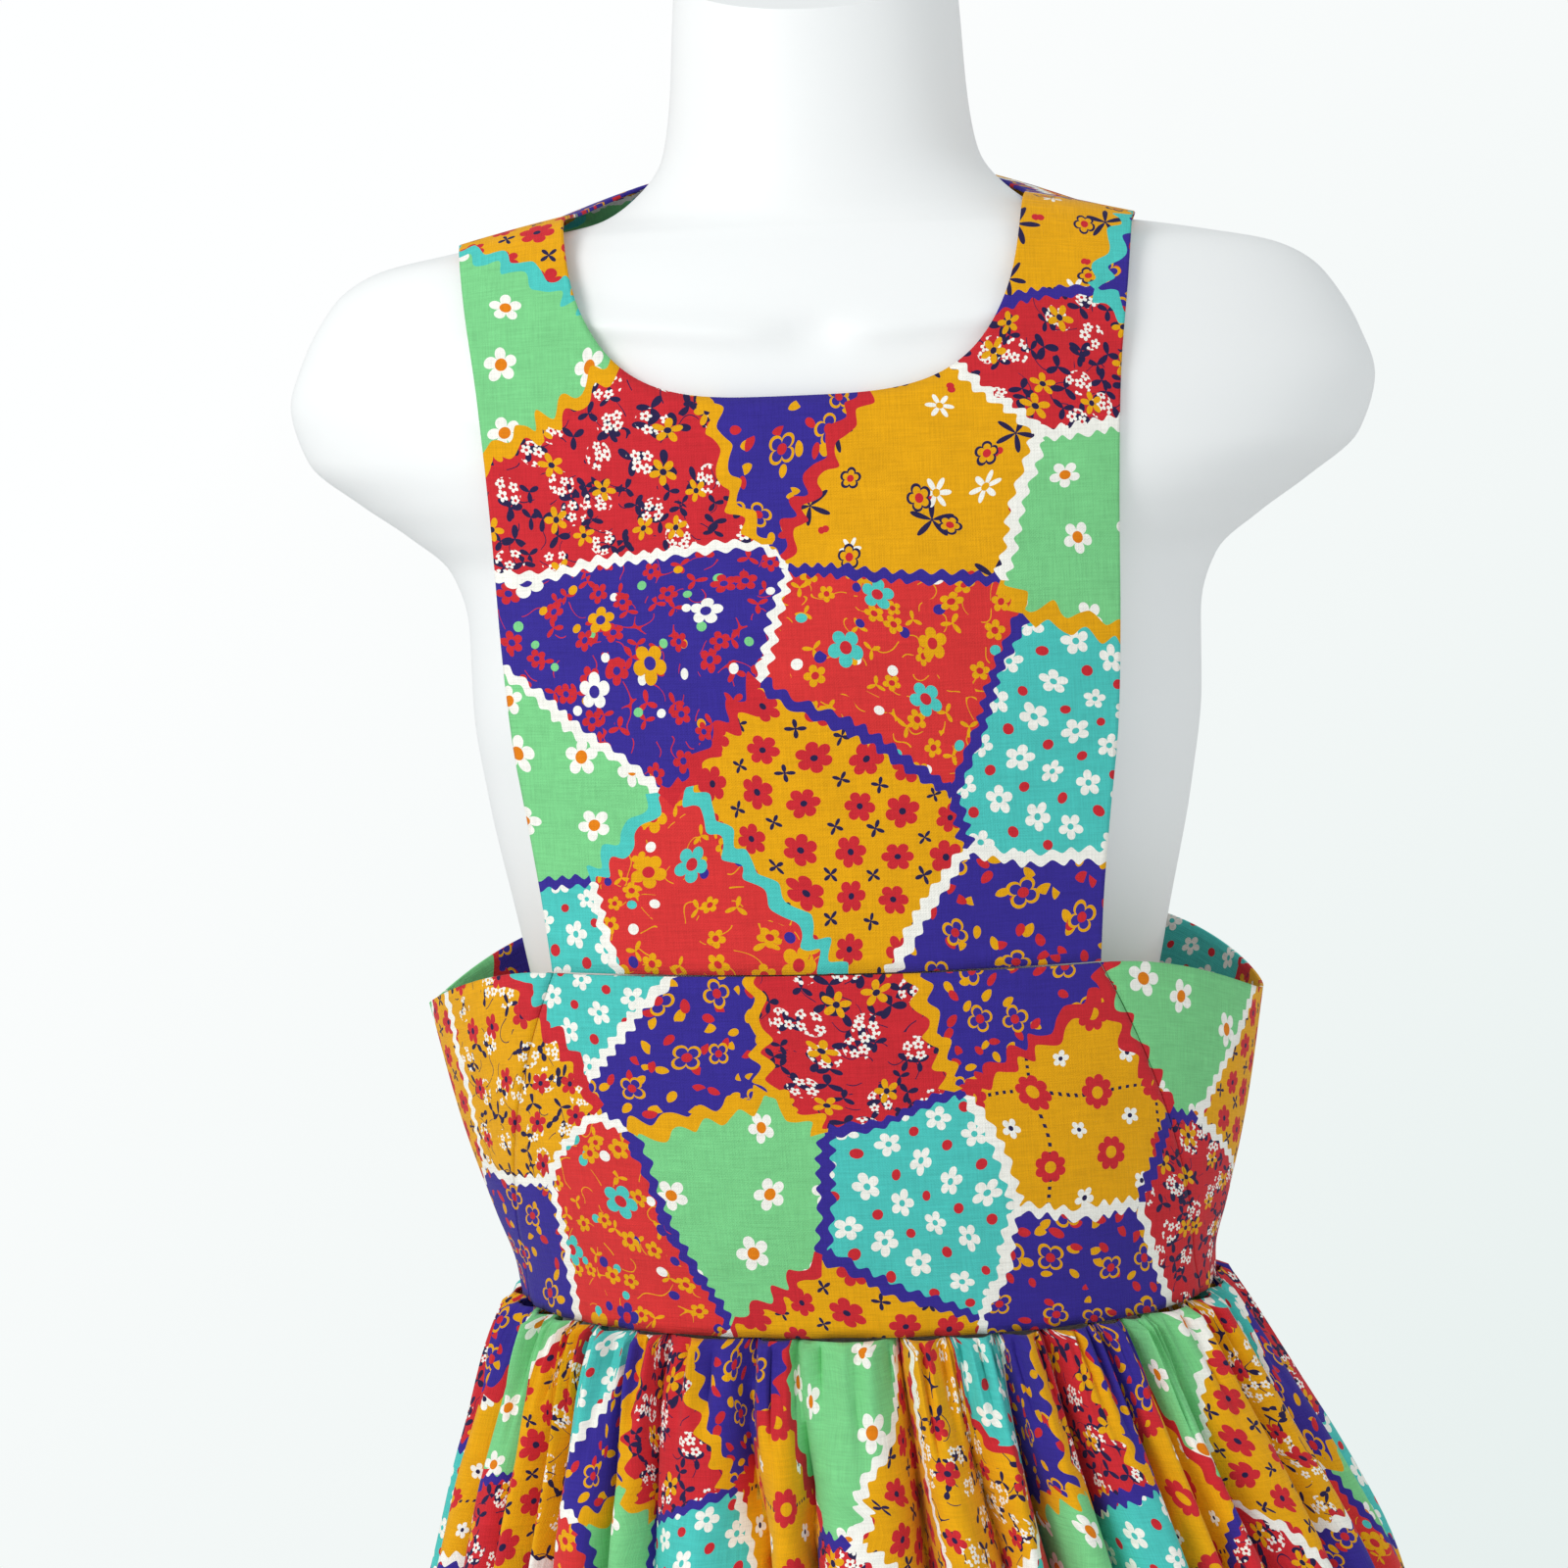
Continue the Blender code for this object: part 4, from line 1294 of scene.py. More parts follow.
        sizes, jitter = table(
            lambda m: (m.spacing[0] / wide_scale, m.spacing[1] / wide_scale, m.radius / size_scale, m.jitter)
        )
        shape, turn = table(lambda m: (m.petals / size_scale, m.notch, m.sharpness / sharp_scale, m.turn))
        one, density = table(lambda m: m.ink(0).linear(m.density))
        two, rim = table(lambda m: m.ink(1).linear(m.rim / self.RIM_SCALE))
        three, shift = table(lambda m: m.ink(2).linear(m.shift))
        core_colour, core = table(lambda m: m.core_ink.linear(m.core))
        rim_colour, _ = table(lambda m: m.rim_ink.linear())
        wide, tall, radius = bench.split(sizes)
        wide, tall = (bench.math("MULTIPLY", side, wide_scale) for side in (wide, tall))
        petals, notch, sharpness = bench.split(shape)
        placed = bench.group(
            self.scatter,
            point=point,
            spacing=bench.join(wide, tall, 1.0),
            jitter=jitter,
            radius=bench.math("MULTIPLY", radius, size_scale),
            petals=bench.math("ROUND", bench.math("MULTIPLY", petals, size_scale)),
            notch=notch,
            sharpness=bench.math("MULTIPLY", sharpness, sharp_scale),
            core=core,
            rim=bench.math("MULTIPLY", rim, self.RIM_SCALE),
            turn=turn,
            shift=shift,
            density=density,
        ).outputs
        starts = (self.SECOND_INK_FROM, self.THIRD_INK_FROM)
        second, third = (bench.math("GREATER_THAN", placed["Pick"], start) for start in starts)
        petal_colour = bench.blend(third, bench.blend(second, one, two), three)
        masks = [placed[name] for name in ("Outline", "Shape", "Middle")]
        if gate is not None:
            masks = [bench.math("MULTIPLY", mask, gate) for mask in masks]
        outline, petals, middle = masks
        has_rim = bench.math("GREATER_THAN", rim, self.LEAST_RIM)
        colour = bench.blend(bench.math("MULTIPLY", outline, has_rim), ground, rim_colour)
        colour = bench.blend(petals, colour, petal_colour)
        return bench.blend(middle, colour, core_colour)

    def cluster_gate(self, bench: Bench, point: Socket, fill: Socket) -> Socket:
        """Makes the mask that gathers the smallest flowers into clusters, in the fillings that have them.

        Args:
            bench: The bench to add the nodes with.
            point: The cloth's coordinates, in millimetres.
            fill: The patch's filling, as its place among the fillings.

        Returns:
            The mask, 1 where flowers may stand.
        """
        cells = bench.vector("MULTIPLY_ADD", point, (1 / self.CLUSTER_SIZE,) * 3, self.CLUSTER_SHIFT)
        distance = bench.cells(cells, self.CLUSTER_JITTER).outputs["Distance"]
        close = bench.math("LESS_THAN", distance, self.CLUSTER_RADIUS)
        anywhere = bench.math("SUBTRACT", 1.0, self.one_of(bench, fill, CLUSTERED))
        return bench.math("MAXIMUM", close, anywhere)

    def vines(self, bench: Bench, point: Socket, fill: Socket, ground: Socket) -> Socket:
        """Prints thin broken vines over the fillings that have them.

        Args:
            bench: The bench to add the nodes with.
            point: The cloth's coordinates, in millimetres.
            fill: The patch's filling, as its place among the fillings.
            ground: The colour printed so far.

        Returns:
            The colour with the vines.
        """
        colour, weight = self.by_fill(
            bench, fill, lambda kind: VINE_INKS.get(kind, Ink.NAVY).linear(float(kind in VINE_INKS))
        )
        level = bench.math("SUBTRACT", bench.noise(point, 1 / self.VINE_LENGTH, detail=0.0), 0.5)
        line = bench.math("LESS_THAN", bench.math("ABSOLUTE", level), self.VINE_HALF_WIDTH)
        elsewhere = bench.vector("ADD", point, self.VINE_BREAK_SHIFT)
        breaks = bench.noise(elsewhere, 1 / self.VINE_BREAK_LENGTH)
        unbroken = bench.math("GREATER_THAN", breaks, self.VINE_BREAK_FROM)
        mask = bench.math("MULTIPLY", bench.math("MULTIPLY", line, unbroken), weight)
        return bench.blend(mask, ground, colour)

    def window_lines(self, bench: Bench, point: Socket, fill: Socket, ground: Socket) -> Socket:
        """Prints the dotted lattice of the windowpane filling.

        Args:
            bench: The bench to add the nodes with.
            point: The cloth's coordinates, in millimetres.
            fill: The patch's filling, as its place among the fillings.
            ground: The colour printed so far.

        Returns:
            The colour with the lattice.
        """
        cell = BLOOMS[Fill.WINDOW].spacing[0]
        x, y, _ = bench.split(point)
        lines = []
        for across, along in ((x, y), (y, x)):
            # The flowers stand at the middle of a lattice cell, and the lines run between them
            near, dots = (
                bench.math("LESS_THAN", bench.math("PINGPONG", *pair), self.LATTICE_HALF_WIDTH)
                for pair in ((across, cell), (along, self.LATTICE_DOT_PITCH))
            )
            lines.append(bench.math("MULTIPLY", near, dots))
        mask = bench.math("MAXIMUM", *lines)
        chosen = self.one_of(bench, fill, (Fill.WINDOW,))
        return bench.blend(bench.math("MULTIPLY", mask, chosen), ground, Ink.NAVY.linear())

    def print_group(self) -> bpy.types.NodeTree:
        """Makes the group of the whole print.

        Returns:
            A group that gives the print's colour at a point of the cloth in millimetres.
        """
        tree, bench, given, result = new_group("patchwork print", {"Point": "Vector"}, {"Color": "Color"})
        point = given.outputs["Point"]
        drift_x = bench.noise(point, 1 / self.DRIFT_LENGTH)
        drift_y = bench.noise(bench.vector("ADD", point, self.DRIFT_SHIFT), 1 / self.DRIFT_LENGTH)
        drift = bench.vector("SUBTRACT", bench.join(drift_x, drift_y), (0.5, 0.5, 0.0))
        drift = bench.vector("MULTIPLY", drift, (self.DRIFT_REACH * 2, self.DRIFT_REACH * 2, 0.0))
        drifted = bench.vector("ADD", point, drift)
        chart = bench.group(self.chart, point=drifted).outputs

        facts = [
            (
                (patch.fill.value + 0.5) / len(Fill),
                (patch.turn % 360) / 360,
                *(number * step % 1.0 for step in self.SLIDE_STEPS),
            )
            for number, patch in enumerate(CHART)
        ]
        facts_colour, drop = bench.ladder(chart["Patch"], facts)
        fill, turn, slide = bench.split(facts_colour)
        rotate = bench.node("ShaderNodeVectorRotate", rotation_type="Z_AXIS")
        bench.feed(rotate.inputs["Vector"], drifted)
        bench.feed(rotate.inputs["Angle"], bench.math("MULTIPLY", turn, math.tau))
        slid = bench.join(*(bench.math("MULTIPLY", share, self.SLIDE) for share in (slide, drop)))
        turned = bench.vector("ADD", rotate.outputs[0], slid)
        colour, _ = self.by_fill(bench, fill, lambda kind: GROUNDS[kind].linear())
        gate = self.cluster_gate(bench, turned, fill)
        colour = self.vines(bench, turned, fill, colour)
        colour = self.window_lines(bench, turned, fill, colour)
        colour = self.layer(bench, LEAVES, fill, bench.vector("ADD", turned, self.LEAF_SHIFT), colour)
        colour = self.layer(bench, DOTS, fill, bench.vector("ADD", turned, self.DOT_SHIFT), colour)
        colour = self.layer(bench, SMALL, fill, turned, colour, gate)
        colour = self.layer(bench, BLOOMS, fill, turned, colour)
        border_colour, _ = bench.ladder(chart["Ink"], [ink.linear() for ink in Ink])
        colour = bench.blend(chart["Border"], colour, border_colour)
        bench.feed(result.inputs["Color"], colour)
        return tree


def weave_group() -> bpy.types.NodeTree:
    """Makes the group of a plain weave with uneven threads.

    Returns:
        A group that takes a point in millimetres and gives the height and the shade of the threads.
    """
    tree, bench, given, result = new_group(
        "plain weave",
        {"Point": "Vector", "Thread": "Float"},
        {"Height": "Float", "Shade": "Float"},
    )
    point = given.outputs["Point"]
    scaled = bench.vector("DIVIDE", point, bench.join(given.outputs["Thread"], given.outputs["Thread"], 1.0))
    warp = bench.noise(bench.vector("MULTIPLY", scaled, (1.0, 0.05, 0.0)), 1.0, 2.0)
    weft = bench.noise(bench.vector("MULTIPLY", scaled, (0.05, 1.0, 0.0)), 1.0, 2.0)
    slub = bench.noise(bench.vector("MULTIPLY", scaled, (0.03, 0.33, 0.0)), 1.0, 1.0)
    x, y, _ = bench.split(bench.vector("MULTIPLY", scaled, (math.tau / 2, math.tau / 2, 0.0)))
    grid = bench.math("MULTIPLY", bench.math("SINE", x), bench.math("SINE", y))
    threads = bench.math("ADD", bench.math("ADD", warp, weft), bench.math("MULTIPLY", grid, 0.22))
    bench.feed(result.inputs["Height"], bench.math("MULTIPLY_ADD", slub, 0.7, threads))
    shade = bench.math("MULTIPLY_ADD", bench.math("ADD", warp, weft), 0.26, 0.74)
    shade = bench.math("SUBTRACT", shade, 0.05)
    bench.feed(result.inputs["Shade"], bench.math("MULTIPLY_ADD", slub, 0.10, shade))
    return tree


@dataclass(frozen=True)
class Finish:
    """The constants of a finish that the shader keeps on its own sockets."""

    name: str
    colour: tuple[float, float, float]
    roughness: float
    metallic: float = 0.0
    specular: float = 0.5
    sheen: float = 0.0
    coat: float = 0.0

    def start(self) -> tuple[bpy.types.Material, Bench, bpy.types.Node]:
        """Makes the material.

        Returns:
            The material, a bench on its tree and its Principled shader.
        """
        material = bpy.data.materials.new(self.name)
        material.use_nodes = True
        shader = material.node_tree.nodes["Principled BSDF"]
        shader.inputs["Base Color"].default_value = (*self.colour, 1.0)
        shader.inputs["Roughness"].default_value = self.roughness
        shader.inputs["Metallic"].default_value = self.metallic
        shader.inputs["Specular IOR Level"].default_value = self.specular
        shader.inputs["Sheen Weight"].default_value = self.sheen
        shader.inputs["Sheen Roughness"].default_value = 0.5
        shader.inputs["Coat Weight"].default_value = self.coat
        return material, Bench(material.node_tree), shader


@dataclass(frozen=True)
class CloudyFinish(Finish):
    """A finish whose tone, roughness and surface wander with a solid noise."""

    low: tuple[float, float, float] = (0.0, 0.0, 0.0)
    high: tuple[float, float, float] = (1.0, 1.0, 1.0)
    scale: float = 1.0
    detail: float = 2.0
    stretch: tuple[float, float, float] | None = None
    # The factor and the start of the roughness, where it follows the noise
    rough_line: tuple[float, float] | None = None
    # The scale of the bump's own finer noise, where it has one
    grain_scale: float | None = None
    bump_height: float = 0.00005
    bump_strength: float = 0.5

    def build(self) -> bpy.types.Material:
        """Makes the material and its nodes.

        Returns:
            The material, with a finer grain in its surface where the finish has one.
        """
        material, bench, shader = self.start()
        cloud = bench.cloud(self.scale, self.detail, self.stretch)
        bench.feed(shader.inputs["Base Color"], bench.blend(cloud, (*self.low, 1.0), (*self.high, 1.0)))
        if self.rough_line:
            bench.feed(shader.inputs["Roughness"], bench.math("MULTIPLY_ADD", cloud, *self.rough_line))
        grain = bench.cloud(self.grain_scale, 2.0) if self.grain_scale else cloud
        bench.bump(shader, grain, self.bump_height, self.bump_strength)
        return material


# Smooth white moulded plastic, a little uneven and scuffed
FORM_PLASTIC = CloudyFinish(
    "form_plastic", (0.94, 0.95, 0.95), 0.42, specular=0.4, coat=0.12,
    low=(0.925, 0.94, 0.945), high=(0.965, 0.97, 0.97), scale=9.0, detail=4.0,
    rough_line=(0.16, 0.36), grain_scale=420.0,
)
# Brushed steel, with the brushing round the pole and the base
STAND_METAL = CloudyFinish(
    "stand_metal", (0.62, 0.63, 0.64), 0.3, metallic=1.0,
    low=(0.52, 0.53, 0.54), high=(0.70, 0.71, 0.72), detail=3.0, stretch=(60.0, 60.0, 900.0),
    rough_line=(0.22, 0.2), bump_height=0.00004,
)
# Pale cloudy plastic
BUTTON_PLASTIC = CloudyFinish(
    "button_plastic", (0.86, 0.82, 0.74), 0.25, coat=0.3,
    low=(0.80, 0.74, 0.62), high=(0.90, 0.87, 0.80), scale=260.0, detail=3.0, bump_strength=0.4,
)
PALE_FLOOR = CloudyFinish(
    "pale_floor", (0.86, 0.87, 0.87), 0.8, specular=0.2,
    low=(0.84, 0.85, 0.855), high=(0.88, 0.885, 0.885), scale=3.0, bump_height=0.0005, bump_strength=0.2,
)
PRINT_COTTON = Finish("print_cotton", (0.7, 0.2, 0.1), 0.86, specular=0.22, sheen=0.06)
SEWING_THREAD = Finish("sewing_thread", (0.62, 0.05, 0.04), 0.7, specular=0.3, sheen=0.1)


class Finishes:
    """Makes every finish of the dress, the form and the stand."""

    WEAVE_PITCH = 0.55
    WEAVE_HEIGHT = 0.00022
    MOTTLE_LENGTH = 16.0
    # Painted shade in the grooves of the thread's twist, and painted light on its crowns
    THREAD_PAINTED_GROOVE_SHADE = (0.42, 0.03, 0.03, 1.0)
    THREAD_PAINTED_CROWN_LIGHT = (0.66, 0.07, 0.05, 1.0)
    TWIST_SCALE = 900.0
    TWIST_HEIGHT = 0.00008

    def __init__(self) -> None:
        """Builds the shared groups and then the materials."""
        self.weave = weave_group()
        self.pattern = PatchworkPrint()
        self.print_cotton = self.make_print_cotton()
        self.thread = self.make_thread()
        self.form_plastic = FORM_PLASTIC.build()
        self.stand_metal = STAND_METAL.build()
        self.button_plastic = BUTTON_PLASTIC.build()
        self.floor = PALE_FLOOR.build()

    def make_print_cotton(self) -> bpy.types.Material:
        """Makes the printed cotton, from cloth coordinates in millimetres.

        Returns:
            The material.
        """
        material, bench, shader = PRINT_COTTON.start()
        coordinates = bench.node("ShaderNodeUVMap", uv_map=CLOTH_MAP).outputs[0]
        point = bench.vector("MULTIPLY", coordinates, (MM, MM, 0.0))
        printed = bench.group(self.pattern.tree, point=point).outputs[0]
        weave = bench.group(self.weave, point=point, thread=self.WEAVE_PITCH).outputs
        mottle = bench.noise(point, 1 / self.MOTTLE_LENGTH, 3.0, 0.6)
        shade = bench.math("MULTIPLY", weave["Shade"], bench.math("MULTIPLY_ADD", mottle, 0.16, 0.92))
        shaded = bench.vector("MULTIPLY", printed, bench.join(shade, shade, shade))
        bench.feed(shader.inputs["Base Color"], shaded)
        bench.feed(shader.inputs["Roughness"], bench.math("MULTIPLY_ADD", weave["Height"], -0.05, 0.93))
        bench.bump(shader, weave["Height"], self.WEAVE_HEIGHT, 0.8)
        return material

    def make_thread(self) -> bpy.types.Material:
        """Makes the twisted sewing thread, with painted shade in the grooves of its twist and painted light
        on its crowns.

        Returns:
            The material.
        """
        material, bench, shader = SEWING_THREAD.start()
        waves = bench.node("ShaderNodeTexWave", wave_type="BANDS", bands_direction="DIAGONAL")
        bench.feed(waves.inputs["Vector"], bench.node("ShaderNodeTexCoord").outputs["Object"])
        waves.inputs["Scale"].default_value = self.TWIST_SCALE
        waves.inputs["Distortion"].default_value = 1.0
        twist = waves.outputs["Fac"]
        # The colour follows the bump: painted shade in the twist's grooves, painted light on its crowns
        bench.feed(shader.inputs["Base Color"], bench.blend(twist, self.THREAD_PAINTED_GROOVE_SHADE, self.THREAD_PAINTED_CROWN_LIGHT))
        bench.bump(shader, twist, self.TWIST_HEIGHT)
        return material


def finished_object(name: str, shape: bmesh.types.BMesh, material: bpy.types.Material,
                    sharp: float = 40.0) -> bpy.types.Object:
    """Makes a finished object at the origin from a bmesh, and lets it ride on the dress.

    Args:
        name: The piece's name.
        shape: Its mesh, which is freed.
        material: Its finish.
        sharp: Edges that turn more degrees than this stay sharp.

    Returns:
        The new object.
    """
    mesh = bpy.data.meshes.new(name)
    shape.to_mesh(mesh)
    shape.free()
    mesh.shade_smooth()
    mesh.set_sharp_from_angle(angle=math.radians(sharp))
    mesh.materials.append(material)
    piece = bpy.data.objects.new(name, mesh)
    bpy.context.scene.collection.objects.link(piece)
    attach(piece, "root")
    LOG.info("%s: %d faces", name, len(mesh.polygons))
    return piece


@dataclass
class ClothPanel:
    """A panel of the dress: a fine grid on its place function, thickened inwards."""

    name: str
    columns: int
    rows: int
    place: Place
    cloth: Cloth
    thickness: float = 0.0013
    replaces: tuple[str, ...] = ()

    def build(self, finishes: Finishes) -> bpy.types.Object:
        """Makes the panel.

        Args:
            finishes: The finishes to dress it with.

        Returns:
            The panel's object.
        """
        sheet = bmesh.new()
        bmesh.ops.create_grid(sheet, x_segments=self.columns, y_segments=self.rows, size=0.5)
        coordinates = sheet.loops.layers.uv.new(CLOTH_MAP)
        shares = {corner: (corner.co.x + 0.5, corner.co.y + 0.5) for corner in sheet.verts}
        cloth = {corner: self.cloth(*share) for corner, share in shares.items()}
        for face in sheet.faces:
            for loop in face.loops:
                loop[coordinates].uv = cloth[loop.vert]
        for corner, share in shares.items():
            corner.co = self.place(*share)
        panel = finished_object(self.name, sheet, finishes.print_cotton, 60.0)
        wall = panel.modifiers.new("cloth wall", "SOLIDIFY")
        wall.thickness = self.thickness
        wall.offset = -1.0
        wall.use_even_offset = False
        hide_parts(*(self.replaces or (self.name.removesuffix("_cloth"),)))
        return panel


@dataclass
class Thread:
    """A run of sewing thread: a round tube along a path, made from one grid."""

    path: Sequence[Vector]
    radius: float
    sides: int = 5

    def lay(self, shape: bmesh.types.BMesh) -> None:
        """Adds the tube to a mesh.

        Args:
            shape: The mesh that takes it.
        """
        last = len(self.path) - 1
        made = bmesh.ops.create_grid(shape, x_segments=last, y_segments=self.sides, size=0.5)["verts"]
        frames = []
        side = (self.path[1] - self.path[0]).orthogonal()
        for index, point in enumerate(self.path):
            along = (self.path[min(last, index + 1)] - self.path[max(0, index - 1)]).normalized()
            side = (side - along * side.dot(along)).normalized()
            frames.append((point, side, side.cross(along)))
        for corner in made:
            point, side, up = frames[round((corner.co.x + 0.5) * last)]
            turn = round((corner.co.y + 0.5) * self.sides) / self.sides * math.tau
            corner.co = point + (side * math.cos(turn) + up * math.sin(turn)) * self.radius
        bmesh.ops.remove_doubles(shape, verts=made, dist=1e-6)


def stitched(line: Sequence[tuple[Vector, Vector]], pitch: float, radius: float) -> list[Vector]:
    """Turns a line on the cloth into a thread that runs over it and dips into it.

    Args:
        line: Points of the line, each with the way out of the cloth.
        pitch: The length of a stitch.
        radius: The thread's radius.

    Returns:
        The thread's centre line, six points a stitch.
    """
    lengths = running_lengths([point for point, _ in line])
    steps = max(1, round(lengths[-1] / pitch)) * len(STITCH_HEIGHTS)
    path = []
    index = 0
    for step in range(steps + 1):
        here = lengths[-1] * step / steps
        while index < len(line) - 2 and here > lengths[index + 1]:
            index += 1
        share = (here - lengths[index]) / max(1e-9, lengths[index + 1] - lengths[index])
        point = line[index][0].lerp(line[index + 1][0], share)
        out = line[index][1].lerp(line[index + 1][1], share).normalized()
        path.append(point + out * radius * STITCH_HEIGHTS[step % len(STITCH_HEIGHTS)])
    return path


def sew(name: str, threads: Sequence[Thread], finishes: Finishes) -> None:
    """Makes one piece of several threads.

    Args:
        name: The piece's name.
        threads: What it holds.
        finishes: The finishes to dress it with.
    """
    shape = bmesh.new()
    for thread in threads:
        thread.lay(shape)
    bmesh.ops.recalc_face_normals(shape, faces=shape.faces)
    finished_object(name, shape, finishes.thread, SHARP_THREAD)


@dataclass
class Bodice:
    """The bib with its straps, and both halves of the back bodice."""

    front_columns: int = 120
    back_columns: int = 56
    rows: int = 40
    print_level: float = 0.200
    back_print_shift: float = 0.150
    relief_height: float = 0.0008
    relief_fade: float = 0.03

    def relief(self, x: float, t: float, length: float) -> float:
        """Gives the cloth's soft unevenness, outwards, in metres."""
        low = smoothstep(t / self.relief_fade) * smoothstep((length - t) / self.relief_fade)
        return self.relief_height * low * (1.0 + ripple(x * 55.0 + t * 20.0, 1.0) * ripple(t * 38.0, 2.0))

    def build_front(self, finishes: Finishes) -> bpy.types.Object:
        """Makes the bib with both front straps.

        Args:
            finishes: The finishes to dress the pieces with.

        Returns:
            The piece.
        """
        pattern = FRONT_PATTERN

        def flat(u: float, v: float) -> tuple[float, float]:
            """Gives (x, t) of the cut.

            Args:
                u: The share across the panel, from 0 to 1.
                v: The share along the panel, from 0 to 1.

            Returns:
                The point of the flat cut, in metres.
            """
            side = 2.0 * u - 1.0
            x, t = pattern.flat(abs(side), 1.0 - v)
            return math.copysign(x, side), t

        def place(u: float, v: float) -> Vector:
            """Gives the outer face's point.

            Args:
                u: The share across the panel, from 0 to 1.
                v: The share along the panel, from 0 to 1.

            Returns:
                The point, in metres.
            """
            x, t = flat(u, v)
            out = pattern.shoulder_gap(t) + self.relief(x, t, pattern.length)
            return pattern.sewn(x, t) + Vector((0.0, -out, 0.0))

        def cloth(u: float, v: float) -> tuple[float, float]:
            """Gives the cloth coordinates."""
            x, t = flat(u, v)
            return x, self.print_level + t

        panel = ClothPanel("bib_front_cloth", self.front_columns, self.rows, place, cloth).build(finishes)
        2 * pattern.half_area()
        return panel

    def build_back(self, finishes: Finishes, side_name: str, side: float) -> bpy.types.Object:
        """Makes one half of the back bodice.

        Args:
            finishes: The finishes to dress it with.
            side_name: left or right.
            side: -1 for the left half and 1 for the right.

        Returns:
            The half's object.
        """
        pattern = BACK_PATTERN

        def flat(u: float, v: float) -> tuple[float, float]:
            """Gives (x, t) of the cut."""
            x, t = pattern.flat(u if side < 0 else 1.0 - u, 1.0 - v)
            return max(x, SEAM_GAP / 2), t

        def place(u: float, v: float) -> Vector:
            """Gives the outer face's point."""
            x, t = flat(u, v)
            return pattern.sewn(side * x, t) + Vector((0.0, pattern.shoulder_gap(t), 0.0))

        def cloth(u: float, v: float) -> tuple[float, float]:
            """Gives the cloth coordinates."""
            x, t = flat(u, v)
            return self.back_print_shift - side * x, self.print_level + t

        name = f"bib_back_{side_name}"
        panel = ClothPanel(f"{name}_cloth", self.back_columns, self.rows, place, cloth).build(finishes)
        pattern.half_area()
        return panel

    def build(self, finishes: Finishes) -> None:
        """Makes the three panels.

        Args:
            finishes: The finishes to dress the pieces with.
        """
        self.build_front(finishes)
        self.build_back(finishes, "left", -1.0)
        self.build_back(finishes, "right", 1.0)


@dataclass
class Waistband:
    """The deep shaped waistband: a front panel, two sides and two back halves."""

    rows: int = 36
    pucker_reach: float = 0.016
    pucker_depth: float = 0.0007
    arcs: list[ArcTable] = field(default_factory=list)

    def arc(self, angle: float, share: float) -> float:
        """Gives the length round the band from the front centre at a share of the way down.

        Args:
            angle: The angle round the dress from the front centre, in degrees.
            share: The share of the way down the band, from 0 to 1.

        Returns:
            The length, in metres.
        """
        if not self.arcs:
            self.arcs = [ArcTable(lambda a, s=i / self.rows: band_place(a, s)) for i in range(self.rows + 1)]
        return self.arcs[round(share * self.rows)].length(angle)

    def panel(self, finishes: Finishes, name: str, columns: int, start: Edge, end: Edge) -> None:
        """Makes one panel of the band.

        Args:
            finishes: The finishes to dress it with.
            name: The CAD node's name.
            columns: The grid's columns.
            start: Gives the angle of its first edge by share down.
            end: Gives the angle of its last edge.
        """

        def angle_of(u: float, share: float) -> float:
            """Gives the angle round the band, kept half a seam's gap inside the edges.

            Args:
                u: The share across the panel, from 0 to 1.
                share: The share of the way down the band, from 0 to 1.

            Returns:
                The angle, in degrees.
            """
            low, high = start(share), end(share)
            gap = math.degrees(SEAM_GAP / 2 / BAND[-1].front) / (high - low)
            return low + (high - low) * (gap + u * (1.0 - 2.0 * gap))

        def place(u: float, v: float) -> Vector:
            """Gives the outer face's point, with small puckers over the gathered seam.

            Args:
                u: The share across the panel, from 0 to 1.
                v: The share along the panel, from 0 to 1.

            Returns:
                The point, in metres.
            """
            share = 1.0 - v
            angle = angle_of(u, share)
            point = band_place(angle, share)
            out = Vector((point.x, point.y, 0.0)).normalized()
            near_waist = smoothstep(1.0 - (point.z - WAIST_Z) / self.pucker_reach)
            return point + out * (self.pucker_depth * near_waist * ripple(math.radians(angle) * 30.0, 3.0))

        def cloth(u: float, v: float) -> tuple[float, float]:
            """Gives the cloth coordinates.

            Args:
                u: The share across the panel, from 0 to 1.
                v: The share along the panel, from 0 to 1.

            Returns:
                The cloth coordinates, in metres.
            """
            share = 1.0 - v
            angle = angle_of(u, share)
            return self.arc(angle, share), band_place(0.0, share).z - WAIST_Z

        panel = ClothPanel(f"{name}_cloth", columns, self.rows, place, cloth).build(finishes)
        shares = [round(i / 8 * self.rows) / self.rows for i in range(9)]
        widths = [self.arc(end(share), share) - self.arc(start(share), share) for share in shares]

    def build(self, finishes: Finishes) -> None:
        """Makes the five panels.

        Args:
            finishes: The finishes to dress the pieces with.
        """
        self.panel(finishes, "band_front", 80, lambda s: -band_seam_angle(s), band_seam_angle)
        self.panel(finishes, "band_side_right", 56, band_seam_angle, lambda s: 180.0 - band_seam_angle(s))
        self.panel(finishes, "band_side_left", 56, lambda s: band_seam_angle(s) - 180.0,
                   lambda s: -band_seam_angle(s))
        self.panel(finishes, "band_back_right", 36, lambda s: 180.0 - band_seam_angle(s), lambda s: 180.0)
        self.panel(finishes, "band_back_left", 36, lambda s: -180.0, lambda s: band_seam_angle(s) - 180.0)


